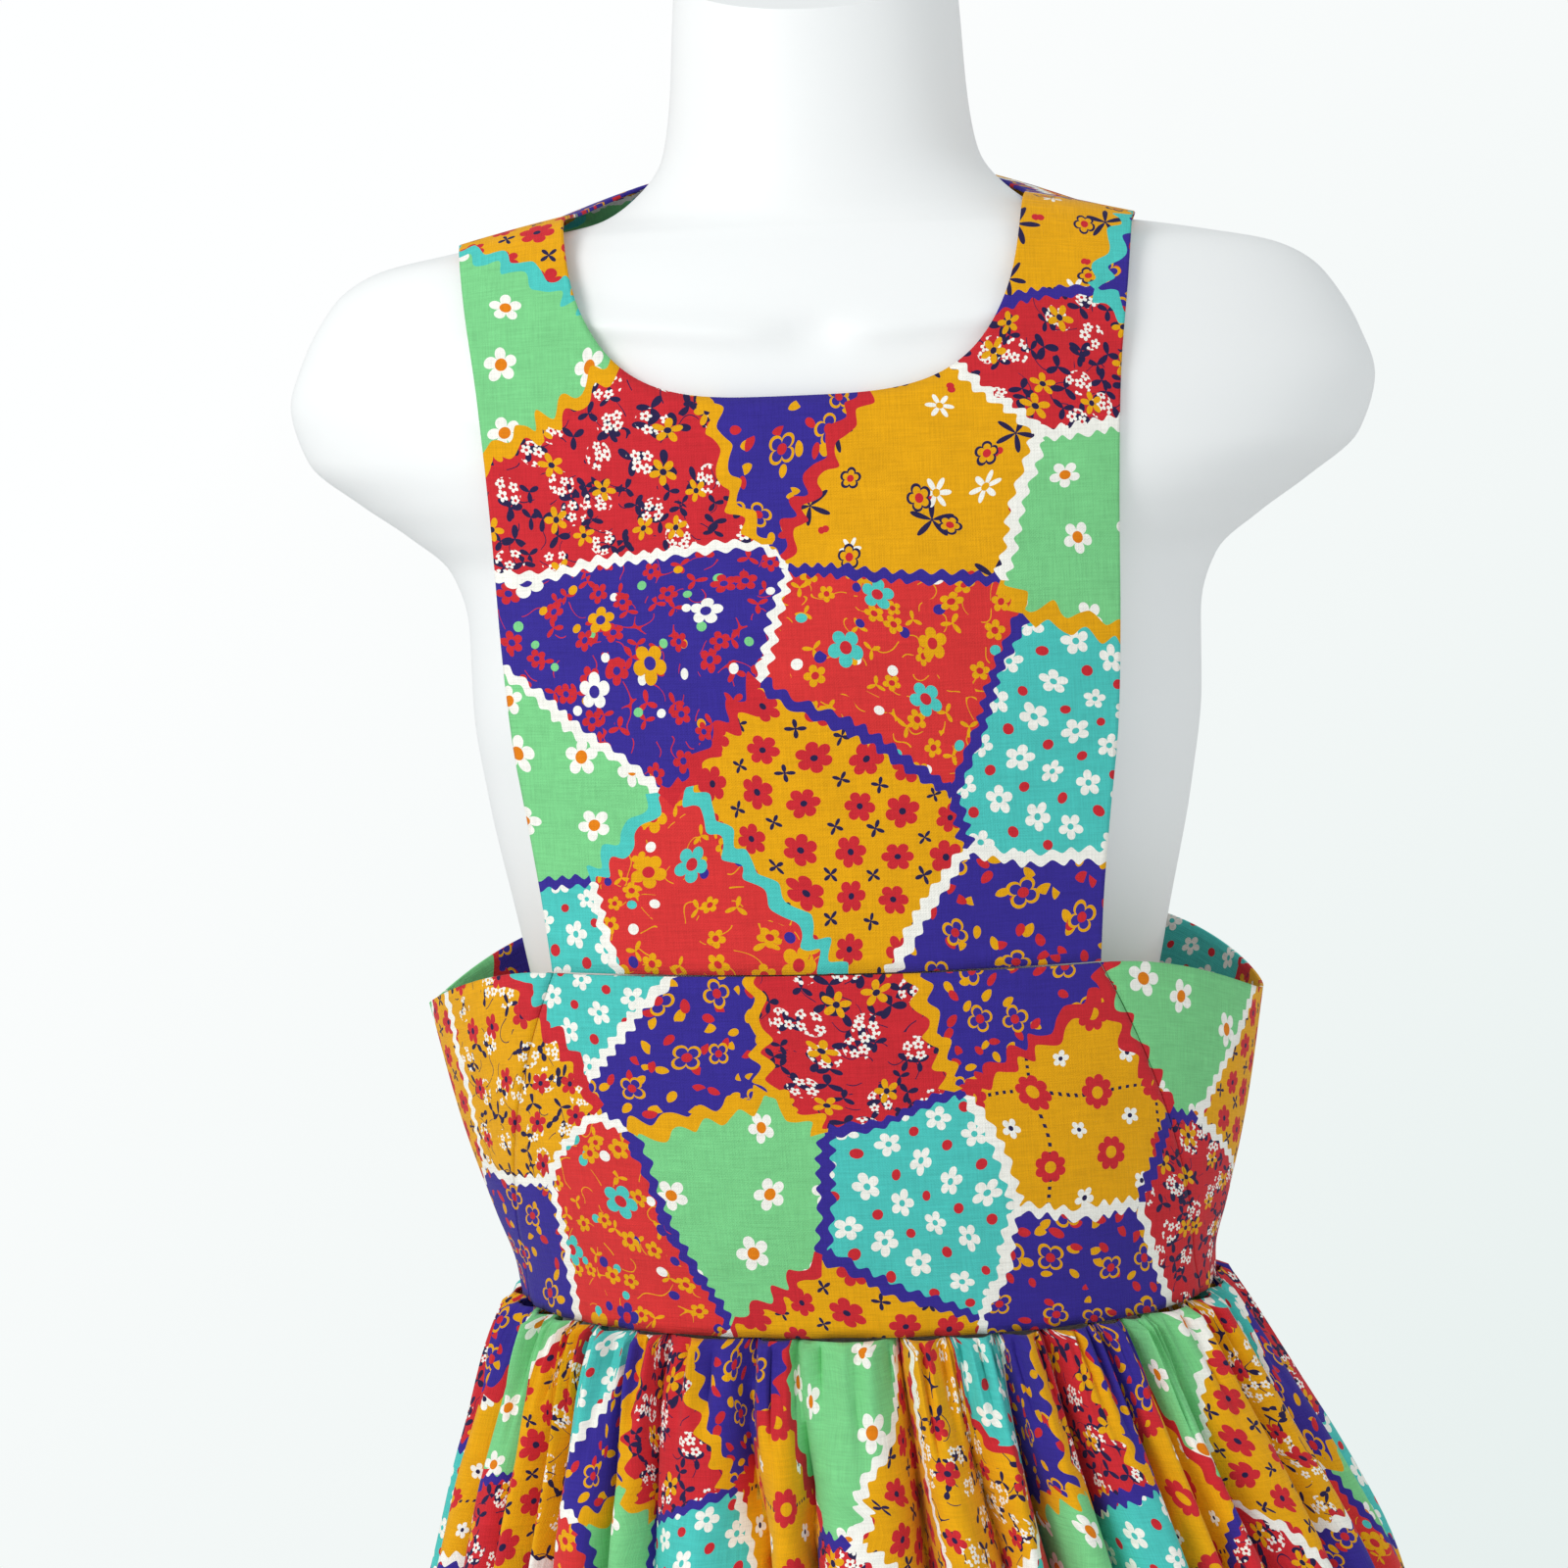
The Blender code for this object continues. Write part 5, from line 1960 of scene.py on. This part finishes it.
@dataclass
class Skirt:
    """The gathered skirt: a front and a back panel with the same folds."""

    columns_per_fold: int = 24
    rows: int = 64
    print_waist: float = 0.150
    print_centre: float = 0.125
    hem_ease: float = 1.3
    slant: float = 1.06
    valley_start: float = 0.62
    gather_reach: float = 0.058
    ridge_power: float = 0.54
    valley_depth: float = 1.6
    gather_height: float = 0.0085
    tucks_per_fold: float = 2.6
    tuck_sink: float = 0.34
    # How full the folds are at the waist, at the foot of the gathers and, beyond that, at the hem
    waist_growth: float = 0.34
    gather_growth: float = 0.66
    gather_share: float = 0.13
    hem_growth: float = 0.45
    sway: float = 0.16
    hem_roundness_drop: float = 0.2
    # The share of its width and length that a panel fills, its sides being sloped
    panel_fill: float = 0.9
    hem_stitch_height: float = 0.025
    hem_points_per_fold: int = 40
    hem_stitch: float = 0.003
    thread_radius: float = 0.00028

    def fold_offset(self, turn_share: float, down: float) -> float:
        """Gives how far the cloth stands out of the mean ring.

        Args:
            turn_share: A count of folds from the seam.
            down: 0 at the waist and 1 at the hem.

        Returns:
            The offset in metres.
        """
        sway = self.sway * ripple(turn_share * 2.4 + down * 7.0, 5.0) * smoothstep(down / 0.1)
        edge = smoothstep(turn_share) * smoothstep(len(FRONT_FOLDS) - turn_share)
        moved = min(len(FRONT_FOLDS) - 1e-6, max(0.0, turn_share + sway * edge))
        index = int(moved)
        s = moved - index
        fold = FRONT_FOLDS[index]
        before = FRONT_FOLDS[index - 1].valley
        valley = before + (fold.valley - before) * s
        ridge = math.sin(math.pi * s) ** self.ridge_power
        sunk = valley * self.valley_depth
        gathered = self.gather_growth * smoothstep(down / self.gather_share)
        growth = self.waist_growth + gathered + self.hem_growth * down
        offset = growth * ((fold.crest + sunk) * ridge - sunk)
        fall = down * (WAIST_Z - SKIRT[-1].z)
        fade = smoothstep(1.0 - fall / self.gather_reach) * smoothstep((fall + 0.0006) / 0.0035)
        wander = 1.1 * ripple(turn_share * 3.0, 2.0) + fall * 9.0
        tuck = abs(math.sin(math.pi * self.tucks_per_fold * turn_share + wander)) ** 0.6
        uneven = 0.8 + 0.5 * ripple(turn_share * 9.0, 9.0)
        return offset + self.gather_height * fade * (tuck * uneven - self.tuck_sink) * edge

    def fold_angle(self, turn_share: float) -> float:
        """Gives degrees from the side seam at a count of folds.

        Args:
            turn_share: The count of folds from the side seam.

        Returns:
            The angle, in degrees.
        """
        index = min(len(FRONT_FOLDS) - 1, int(turn_share))
        passed = sum(fold.degrees for fold in FRONT_FOLDS[:index])
        return passed + FRONT_FOLDS[index].degrees * (turn_share - index)

    def point(self, start_angle: float, turn_share: float, down: float) -> Vector:
        """Gives the skirt's outer face.

        Args:
            start_angle: The angle of the seam where the panel starts.
            turn_share: A count of folds from it.
            down: 0 at the waist and 1 at the hem.

        Returns:
            The point in space.
        """
        top = WAIST_Z - SEAM_GAP
        z = top - (top - SKIRT[-1].z) * down
        half_width, front, back, centre_x = SKIRT_CURVE(-z)
        gap = math.degrees(SEAM_GAP / 2 / half_width)
        angle = start_angle + self.fold_angle(turn_share)
        angle = min(start_angle + 180.0 - gap, max(start_angle + gap, angle))
        roundness = RING_ROUNDNESS - self.hem_roundness_drop * down
        x, y = ring_point(angle, half_width, front, back, roundness)
        out = Vector((x / half_width**2, y / front**2, 0.0)).normalized()
        return Vector((x + centre_x, y, z)) + out * self.fold_offset(turn_share, down)

    def build_panel(self, finishes: Finishes, name: str, start_angle: float) -> None:
        """Makes one panel of the skirt.

        Each fold keeps its share of the cloth all the way up. What its ridge has no room for is tucked into
        the valleys beside it.

        Args:
            finishes: The finishes to dress it with.
            name: The CAD node's name.
            start_angle: The angle of the seam where it starts.
        """
        folds = len(FRONT_FOLDS)
        columns = self.columns_per_fold * folds
        downs = [(1.0 - row / self.rows) ** 1.5 for row in range(self.rows + 1)]
        points = [
            [self.point(start_angle, column / self.columns_per_fold, down) for column in range(columns + 1)]
            for down in downs
        ]
        widths = [running_lengths(row) for row in points]
        ends = [widths[0][number * self.columns_per_fold] / self.hem_ease for number in range(folds + 1)]
        shift = self.print_centre - ends[folds // 2]
        if start_angle > 0:
            shift += ends[-1]

        def place(u: float, v: float) -> Vector:
            """Gives the outer face's point."""
            return points[round(v * self.rows)][round(u * columns)]

        def cloth(u: float, v: float) -> tuple[float, float]:
            """Gives the cloth coordinates.

            Args:
                u: The share across the panel, from 0 to 1.
                v: The share along the panel, from 0 to 1.

            Returns:
                The cloth coordinates, in metres.
            """
            row = widths[round(v * self.rows)]
            column = round(u * columns)
            number = min(folds - 1, column // self.columns_per_fold)
            first = number * self.columns_per_fold
            last = first + self.columns_per_fold
            arc = row[last] - row[first]
            own = ends[number + 1] - ends[number]
            off = row[column] - row[first] - arc / 2
            out = abs(2.0 * (column - first) / self.columns_per_fold - 1.0)
            tucked = (own - arc) / 2 * smoothstep((out - self.valley_start) / (1.0 - self.valley_start))
            across = ends[number] + own / 2 + off + math.copysign(tucked, off)
            fall = downs[round(v * self.rows)] * (WAIST_Z - SKIRT[-1].z)
            return across + shift, self.print_waist - fall * self.slant

        panel = ClothPanel(f"{name}_cloth", columns, self.rows, place, cloth, 0.0010).build(finishes)
        self.build_hem_stitches(finishes, name, start_angle)

    def build_hem_stitches(self, finishes: Finishes, name: str, start_angle: float) -> None:
        """Makes the row of stitches that holds a panel's turned hem.

        Args:
            finishes: The finishes to dress it with.
            name: The CAD node's name.
            start_angle: The angle of the seam where the panel starts.
        """
        down = 1.0 - self.hem_stitch_height / (WAIST_Z - SKIRT[-1].z)
        folds = len(FRONT_FOLDS)
        steps = folds * self.hem_points_per_fold
        points = [self.point(start_angle, folds * step / steps, down) for step in range(2, steps - 1)]
        line = []
        for index, point in enumerate(points):
            along = points[min(len(points) - 1, index + 1)] - points[max(0, index - 1)]
            line.append((point, along.cross(Vector((0.0, 0.0, 1.0))).normalized()))
        hem = Thread(stitched(line, self.hem_stitch, self.thread_radius), self.thread_radius, 4)
        sew(f"{name}_hem_stitching", [hem], finishes)

    def build(self, finishes: Finishes) -> None:
        """Makes both panels."""
        self.build_panel(finishes, "skirt_front", -90.0)
        self.build_panel(finishes, "skirt_back", 90.0)


@dataclass
class BackClosing:
    """The buttoned placket down the back: its strip of cloth, its buttons, buttonholes and stitching."""

    columns: int = 24
    rows: int = 96
    edge_stitch: float = 0.0022
    edge_points: int = 240
    edge_inset: float = 0.004
    stitch: float = 0.0027
    thread_radius: float = 0.00026
    groove_depth: float = 0.00022
    groove_reach: float = 0.0014
    # Half the share of the placket over which its slope is measured
    slope_reach: float = 0.012
    buttonhole_length: float = 0.0200
    buttonhole_width: float = 0.0026
    buttonhole_turns: int = 96
    buttonhole_radius: float = 0.00020
    buttonhole_lift: float = 0.00008
    button_columns: int = 56
    dish_depth: float = 0.28
    hole_radius: float = 0.0010
    hole_depth: float = 0.58
    hole_offset: float = 0.0019
    sewing_radius: float = 0.00021
    sewing_spread: float = 0.00022
    sewing_rise: float = 0.00035
    sewing_dip: float = 0.0008
    print_shift: float = 0.150

    def band_share(self) -> float:
        """Gives the share of the placket that lies on the waistband."""
        depth = BAND_TOP_Z - WAIST_Z
        return depth / (depth + BACK_PATTERN.length - BACK_PATTERN.neck_depth)

    def under(self, x: float, v: float) -> Vector:
        """Gives the bodice's outer face under the placket.

        Args:
            x: Distance from the centre line, towards +X.
            v: 0 at the waist and 1 at the neckline.

        Returns:
            The point in space.
        """
        split = self.band_share()
        if v < split:
            share = 1.0 - v / split
            half_width, _, _, _ = BAND_CURVE(share)
            turn = math.degrees(math.asin(min(1.0, (abs(x) / half_width) ** (RING_ROUNDNESS / 2))))
            return band_place(math.copysign(180.0 - turn, x), share)
        sine = min(1.0, (abs(x) / STRAP_INNER_X) ** (1.0 / BACK_PATTERN.neck_power))
        drop = BACK_PATTERN.neck_depth * (1.0 - sine * sine) ** (BACK_PATTERN.neck_power / 2)
        t = (BACK_PATTERN.length - drop) * (v - split) / (1.0 - split)
        return BACK_PATTERN.sewn(x, t)

    def outward(self, x: float, v: float) -> Vector:
        """Gives the way out of the back at a point of the placket.

        Args:
            x: The way to the side from the centre line, in metres.
            v: The share of the way up the placket.

        Returns:
            The direction, of length 1.
        """
        below = self.under(x, max(0.0, v - self.slope_reach))
        above = self.under(x, min(1.0, v + self.slope_reach))
        return (above - below).cross(Vector((1.0, 0.0, 0.0))).normalized()

    def face(self, x: float, v: float) -> Vector:
        """Gives the placket's own outer face, drawn in along its rows of stitches."""
        edge = smoothstep(1.0 - abs(PLACKET_HALF_WIDTH - abs(x) - self.edge_stitch) / self.groove_reach)
        return self.under(x, v) + self.outward(x, v) * (LAYER_GAP + WALL - self.groove_depth * edge)

    def build_strip(self, finishes: Finishes) -> None:
        """Makes the strip of cloth.

        Args:
            finishes: The finishes to dress the pieces with.
        """
        length = BACK_PATTERN.length - BACK_PATTERN.neck_depth + BAND_TOP_Z - WAIST_Z

        def across(u: float) -> float:
            """Gives the distance from the centre line."""
            return (2.0 * u - 1.0) * PLACKET_HALF_WIDTH

        panel = ClothPanel(
            "back_placket_cloth",
            self.columns,
            self.rows,
            lambda u, v: self.face(across(1.0 - u), v),
            lambda u, v: (self.print_shift + across(u), v * length),
            WALL,
        ).build(finishes)

    def button_levels(self) -> list[float]:
        """Gives the placket's share up to each button.

        Returns:
            The shares, from the highest button down.
        """
        bib_rows, band_rows = PLACKET_LEVELS
        split = self.band_share()
        marks = [split + (1.0 - split) * (1.0 - row / (bib_rows - 1)) for row in range(bib_rows)]
        marks += [split * (1.0 - row / band_rows) for row in range(1, band_rows + 1)]
        lengths = running_lengths([self.under(0.0, mark) for mark in marks])
        spacing = (lengths[-1] - FIRST_BUTTON_DROP - LAST_BUTTON_RISE) / (BUTTON_COUNT - 1)
        keep = BUTTON_RADIUS + CREASE_MARGIN
        levels = []
        for number in range(BUTTON_COUNT):
            drop = FIRST_BUTTON_DROP + spacing * number
            mark = max(index for index in range(len(marks) - 1) if lengths[index] <= drop)
            start, end = lengths[mark], lengths[mark + 1]
            share = (min(end - keep, max(start + keep, drop)) - start) / (end - start)
            levels.append(marks[mark] + (marks[mark + 1] - marks[mark]) * share)
        return levels

    def button_top(self, x: float, y: float) -> float:
        """Gives the height of a button's upper side: a dished middle, a round rim and four holes.

        Args:
            x: The way across from the button's middle, in metres.
            y: The way up from the button's middle, in metres.

        Returns:
            The height over the button's seat, in metres.
        """
        away = math.hypot(x, y) / BUTTON_RADIUS
        rim = 1.0 - self.dish_depth * smoothstep((0.80 - away) / 0.16)
        height = rim * math.sqrt(max(0.0, 1.0 - max(0.0, (away - 0.90) / 0.10) ** 2 * 0.75))
        for side, end in product((-1.0, 1.0), repeat=2):
            off = math.hypot(x - side * self.hole_offset, y - end * self.hole_offset)
            past = (off - self.hole_radius * 0.8) / (self.hole_radius * 0.4)
            height -= self.hole_depth * smoothstep(1.0 - past)
        return height * BUTTON_THICKNESS

    def button_matrix(self, v: float) -> Matrix:
        """Gives the place of a button's seat: z out of the back, y up the placket.

        Args:
            v: The share of the way up the placket.

        Returns:
            The place and turn of the seat.
        """
        out = self.outward(0.0, v)
        up = Vector((1.0, 0.0, 0.0)).cross(out)
        across = up.cross(out)
        turn = Matrix((across, up, out)).transposed().to_4x4()
        return Matrix.Translation(self.under(0.0, v) + out * (LAYER_GAP + WALL + TOUCH_GAP)) @ turn

    def build_button(self, finishes: Finishes, number: int, v: float) -> None:
        """Makes a button: a fine disc shaped on its upper side, with a wall and a flat seat below.

        Args:
            finishes: The finishes to dress it with.
            number: Its number from the neckline.
            v: Its share up the placket.
        """
        disc = bmesh.new()
        columns = self.button_columns
        bmesh.ops.create_grid(disc, x_segments=columns, y_segments=columns, size=1.0)
        for corner in disc.verts:
            # A square's points moved into a circle
            x, y = corner.co.x, corner.co.y
            flat = Vector((x * math.sqrt(1.0 - y * y / 2), y * math.sqrt(1.0 - x * x / 2)))
            flat *= BUTTON_RADIUS
            corner.co = (flat.x, flat.y, self.button_top(flat.x, flat.y))
        rim = [edge for edge in disc.edges if edge.is_boundary]
        for height, size in ((0.12, 1.0), (0.0, 0.93)):
            wall = bmesh.ops.extrude_edge_only(disc, edges=rim)["geom"]
            rim = [part for part in wall if isinstance(part, bmesh.types.BMEdge) and part.is_boundary]
            for corner in {corner for edge in rim for corner in edge.verts}:
                flat = Vector((corner.co.x, corner.co.y)).normalized() * BUTTON_RADIUS * size
                corner.co = (flat.x, flat.y, BUTTON_THICKNESS * height)
        bmesh.ops.holes_fill(disc, edges=rim, sides=0)
        bmesh.ops.recalc_face_normals(disc, faces=disc.faces)
        bmesh.ops.transform(disc, matrix=self.button_matrix(v), verts=disc.verts)
        name = f"button_{number}"
        piece = finished_object(f"{name}_moulded", disc, finishes.button_plastic, 50.0)
        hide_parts(name)

    def button_threads(self, v: float) -> list[Thread]:
        """Gives the two crossed loops of thread that sew a button on.

        Args:
            v: The share of the way up the placket.

        Returns:
            The threads.
        """
        matrix = self.button_matrix(v)
        top = self.button_top(0.0, 0.0)
        threads = []
        for turn, beside in product((1.0, -1.0), (-self.sewing_spread, self.sewing_spread)):
            path = []
            for step in range(13):
                share = step / 6.0 - 1.0
                reach = self.hole_offset * share
                dip = self.sewing_dip * smoothstep((abs(share) - 0.75) / 0.25)
                height = top + self.sewing_rise * (1.0 - share * share) - dip
                path.append(matrix @ Vector((reach + beside, reach * turn - beside * turn, height)))
            threads.append(Thread(path, self.sewing_radius, 6))
        return threads

    def buttonhole_thread(self, v: float) -> Thread:
        """Gives a buttonhole's close zigzag: one thread that goes round the slit.

        Args:
            v: The share of the way up the placket.

        Returns:
            The thread.
        """
        matrix = self.button_matrix(v)
        half = self.buttonhole_length / 2
        steps = self.buttonhole_turns * 2
        path = []
        for step in range(steps + 1):
            share = step / steps
            up_share = share * 2.0 if share <= 0.5 else 2.0 - share * 2.0
            side = 1.0 if share <= 0.5 else -1.0
            y = half * (2.0 * up_share - 1.0)
            reach = self.buttonhole_width / 2 if step % 2 else self.buttonhole_width * 0.12
            path.append(matrix @ Vector((side * reach, y, self.buttonhole_lift - TOUCH_GAP)))
        return Thread(path, self.buttonhole_radius, 4)

    def build_stitching(self, finishes: Finishes) -> None:
        """Makes both rows of stitches down the placket, the buttonholes and the buttons' threads.

        Args:
            finishes: The finishes to dress the pieces with.
        """
        threads = []
        steps = self.edge_points
        marks = [self.edge_inset + (1.0 - 2 * self.edge_inset) * step / steps for step in range(steps + 1)]
        for side in (-1.0, 1.0):
            x = side * (PLACKET_HALF_WIDTH - self.edge_stitch)
            line = [(self.face(x, v), self.outward(x, v)) for v in marks]
            threads.append(Thread(stitched(line, self.stitch, self.thread_radius), self.thread_radius))
        for v in self.button_levels():
            threads += self.button_threads(v)
            threads.append(self.buttonhole_thread(v))
        sew("back_stitching", threads, finishes)

    def build(self, finishes: Finishes) -> None:
        """Makes the whole closing.

        Args:
            finishes: The finishes to dress the pieces with.
        """
        self.build_strip(finishes)
        for number, v in enumerate(self.button_levels(), 1):
            self.build_button(finishes, number, v)
        self.build_stitching(finishes)


@dataclass
class DressForm:
    """The smooth white figure: a neck, short rounded shoulders and a closed torso."""

    columns: int = 144
    rings_per_row: int = 7
    end_rings: int = 6
    collarbone_z: float = 1.298
    collarbone_rise: float = 0.10
    collarbone_height: float = 0.0030
    dip_depth: float = 0.0034

    def point(self, angle: float, level: float) -> Vector:
        """Gives the form's skin.

        Args:
            angle: Degrees from the front centre.
            level: A row number of the table, with fractions; beyond the table the ends close.

        Returns:
            The point in space.
        """
        last = len(FORM) - 1.0
        inside = min(last, max(0.0, level))
        z, half_width, front, back = FORM_CURVE(inside)
        beyond = min(1.0, abs(level - inside))
        shrink = math.cos(beyond * math.pi / 2) ** 0.5 if beyond < 1.0 else 0.0
        x, y = ring_point(angle, half_width, front, back, 2.0)
        if y < 0.0:
            y -= self.collarbone(x, z)
        slope = NECK_TOP_SLOPE * smoothstep((z - NECK_SLOPE_START_Z) / (FORM[-1].z - NECK_SLOPE_START_Z))
        return Vector((x * shrink, y * shrink, z + slope * y * shrink))

    def collarbone(self, x: float, z: float) -> float:
        """Gives the low relief of the collarbones and of the dip between them, outwards, in metres.

        Args:
            x: The way to the side from the centre line, in metres.
            z: The height over the floor, in metres.

        Returns:
            The relief, in metres.
        """
        line = self.collarbone_z + self.collarbone_rise * abs(x)
        ridge = math.exp(-(((z - line) / 0.006) ** 2)) * smoothstep((abs(x) - 0.006) / 0.02)
        ridge *= smoothstep((0.13 - abs(x)) / 0.03)
        dip = math.exp(-(((z - self.collarbone_z) / 0.008) ** 2) - (x / 0.010) ** 2)
        return self.collarbone_height * ridge - self.dip_depth * dip

    def build(self, finishes: Finishes) -> None:
        """Makes the form from a sphere whose rings are laid on the table's curves.

        Args:
            finishes: The finishes to dress the pieces with.
        """
        rows = (len(FORM) - 1) * self.rings_per_row
        rings = rows + 2 * self.end_rings
        body = bmesh.new()
        bmesh.ops.create_uvsphere(body, u_segments=self.columns, v_segments=rings, radius=1.0)
        for corner in body.verts:
            ring = (1.0 - math.acos(max(-1.0, min(1.0, corner.co.z))) / math.pi) * rings - self.end_rings
            if ring < 0:
                level = ring / self.end_rings
            elif ring > rows:
                level = len(FORM) - 1 + (ring - rows) / self.end_rings
            else:
                level = ring / self.rings_per_row
            corner.co = self.point(math.degrees(math.atan2(corner.co.x, -corner.co.y)), level)
        piece = finished_object("torso_form_skin", body, finishes.form_plastic)
        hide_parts("torso_form")


@dataclass
class Stand:
    """The round base, the pole and the collar, turned from their profiles."""

    base_radius: float = 0.170
    base_thickness: float = 0.012
    base_bevel: float = 0.003
    pole_radius: float = 0.0125
    collar_radius: float = 0.024
    collar_height: float = 0.030
    collar_bevel: float = 0.003
    pole_bevel: float = 0.0008
    steps: int = 96

    def turned(self, name: str, profile: Sequence[tuple[float, float]], finishes: Finishes) -> None:
        """Turns a closed profile round the upright axis.

        Args:
            name: The CAD node's name.
            profile: Points (radius, z) from the axis at the bottom to the axis at the top.
            finishes: The finishes to dress it with.
        """
        lathe = bmesh.new()
        corners = [lathe.verts.new((radius, 0.0, z)) for radius, z in profile]
        edges = [lathe.edges.new(pair) for pair in zip(corners, corners[1:])]
        bmesh.ops.spin(lathe, geom=corners + edges, cent=(0, 0, 0), axis=(0, 0, 1), angle=math.tau,
                       steps=self.steps, use_merge=True)
        bmesh.ops.remove_doubles(lathe, verts=lathe.verts, dist=1e-6)
        bmesh.ops.recalc_face_normals(lathe, faces=lathe.faces)
        piece = finished_object(f"{name}_turned", lathe, finishes.stand_metal, 30.0)
        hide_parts(name)

    def rounded(self, radius: float, bottom: float, top: float, bevel: float) -> list[tuple[float, float]]:
        """Gives the profile of a rounded cylinder.

        Args:
            radius: The cylinder's radius, in metres.
            bottom: The height of its lower end, in metres.
            top: The height of its upper end, in metres.
            bevel: The width of its bevelled edges, in metres.

        Returns:
            The profile, as pairs of radius and height.
        """
        arc = [math.radians(a) for a in range(0, 91, 15)]
        lower = [(radius - bevel + bevel * math.sin(a), bottom + bevel - bevel * math.cos(a)) for a in arc]
        upper = [(radius - bevel + bevel * math.cos(a), top - bevel + bevel * math.sin(a)) for a in arc]
        return [(0.0, bottom), *lower, *upper, (0.0, top)]

    def build(self, finishes: Finishes) -> None:
        """Makes the three pieces.

        Args:
            finishes: The finishes to dress the pieces with.
        """
        low, high = self.base_thickness + TOUCH_GAP, FORM_BOTTOM_Z - TOUCH_GAP
        pole_top = FORM_BOTTOM_Z - self.collar_height - 2 * TOUCH_GAP
        for name, radius, bottom, top, bevel in (
            ("stand_base", self.base_radius, 0.0, self.base_thickness, self.base_bevel),
            ("stand_pole", self.pole_radius, low, pole_top, self.pole_bevel),
            ("stand_collar", self.collar_radius, pole_top + TOUCH_GAP, high, self.collar_bevel),
        ):
            self.turned(name, self.rounded(radius, bottom, top, bevel), finishes)


class Lamp(NamedTuple):
    """A large soft lamp: its place and diameter in metres, its power in watts and its colour."""

    name: str
    place: tuple[float, float, float]
    diameter: float
    power: float
    colour: tuple[float, float, float]


LAMPS = (
    Lamp("key", (-1.7, -1.9, 2.4), 1.3, 34.0, (1.0, 0.99, 0.97)),
    Lamp("fill", (1.9, -1.6, 1.3), 1.6, 3.0, (0.95, 0.98, 1.0)),
)


@dataclass
class Studio:
    """The floor, the soft light and the camera."""

    # The surround as it lights the scene, and as the camera sees it on the left and on the right, where it is
    # darker and bluer: painted shade on the wall behind the form
    ambient: Colour = (0.62, 0.645, 0.65, 1.0)
    wall_left: Colour = (0.99, 1.0, 1.0, 1.0)
    wall_right_painted_shade: Colour = (0.80, 0.87, 0.855, 1.0)
    aim: tuple[float, float, float] = (0.0, 0.0, 1.1)
    floor_radius: float = 2.3
    azimuth: float = 5.0
    pitch: float = 4.9
    roll: float = 1.8
    lens: float = 84.0
    location: tuple[float, float, float] = (0.1060, -1.4640, 1.2482)

    def build_floor(self, finishes: Finishes) -> None:
        """Makes the floor.

        Args:
            finishes: The finishes to dress the pieces with.
        """
        sheet = bmesh.new()
        bmesh.ops.create_circle(sheet, cap_ends=True, segments=128, radius=self.floor_radius)
        mesh = bpy.data.meshes.new("floor")
        sheet.to_mesh(mesh)
        sheet.free()
        mesh.materials.append(finishes.floor)
        floor = bpy.data.objects.new("floor", mesh)
        floor.location.z = -0.0005
        bpy.context.scene.collection.objects.link(floor)

    def build_light(self) -> None:
        """Makes the white surround, with painted shade on its right where the camera sees it, and two large
        soft lamps.
        """
        world = bpy.data.worlds.new("white surround")
        bpy.context.scene.world = world
        world.use_nodes = True
        background = world.node_tree.nodes["Background"]
        bench = Bench(world.node_tree)
        seen = bench.node("ShaderNodeLightPath").outputs["Is Camera Ray"]
        direction = bench.node("ShaderNodeTexCoord").outputs["Generated"]
        x, _, z = bench.split(direction)
        across = bench.math("SUBTRACT", x, bench.math("MULTIPLY", z, 1.2))
        side = bench.math("MULTIPLY_ADD", across, 1.4, 0.35)
        side = bench.math("MINIMUM", bench.math("MAXIMUM", side, 0.0), 1.0)
        # Darker and bluer towards the right where the camera sees it: painted shade on the wall
        wall = bench.blend(side, self.wall_left, self.wall_right_painted_shade)
        bench.feed(background.inputs["Color"], bench.blend(seen, self.ambient, wall))
        background.inputs["Strength"].default_value = 1.0
        for lamp in LAMPS:
            data = bpy.data.lights.new(lamp.name, "AREA")
            data.shape = "DISK"
            data.size = lamp.diameter
            data.energy = lamp.power
            data.color = lamp.colour
            light = bpy.data.objects.new(lamp.name, data)
            light.location = lamp.place
            aim = Vector(self.aim) - Vector(lamp.place)
            light.rotation_euler = aim.to_track_quat("-Z", "Y").to_euler()
            bpy.context.scene.collection.objects.link(light)

    def build_camera(self) -> None:
        """Makes the camera at the photograph's place."""
        azimuth, pitch, roll = (math.radians(a) for a in (self.azimuth, self.pitch, self.roll))
        level = math.cos(pitch)
        forward = Vector((-math.sin(azimuth) * level, math.cos(azimuth) * level, -math.sin(pitch)))
        right = Vector((math.cos(azimuth), math.sin(azimuth), 0.0))
        up = right.cross(forward)
        turned_right = right * math.cos(roll) - up * math.sin(roll)
        turned_up = right * math.sin(roll) + up * math.cos(roll)
        camera = bpy.data.cameras.new("camera")
        camera.lens = self.lens
        camera.sensor_width = 36.0
        stand = bpy.data.objects.new("camera", camera)
        turn = Matrix((turned_right, turned_up, -forward)).transposed()
        stand.matrix_world = Matrix.Translation(self.location) @ turn.to_4x4()
        bpy.context.scene.collection.objects.link(stand)
        bpy.context.scene.camera = stand


def main() -> None:
    """Builds the dress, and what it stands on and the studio."""
    logging.basicConfig(level=logging.INFO, format="%(name)s: %(message)s")
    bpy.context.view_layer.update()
    studio = Studio()
    studio.build_camera()
    finishes = Finishes()
    DressForm().build(finishes)
    Stand().build(finishes)
    Bodice().build(finishes)
    Waistband().build(finishes)
    Skirt().build(finishes)
    BackClosing().build(finishes)
    studio.build_floor(finishes)
    studio.build_light()
    bpy.context.scene.view_settings.view_transform = "Standard"


if __name__ == "__main__":
    main()
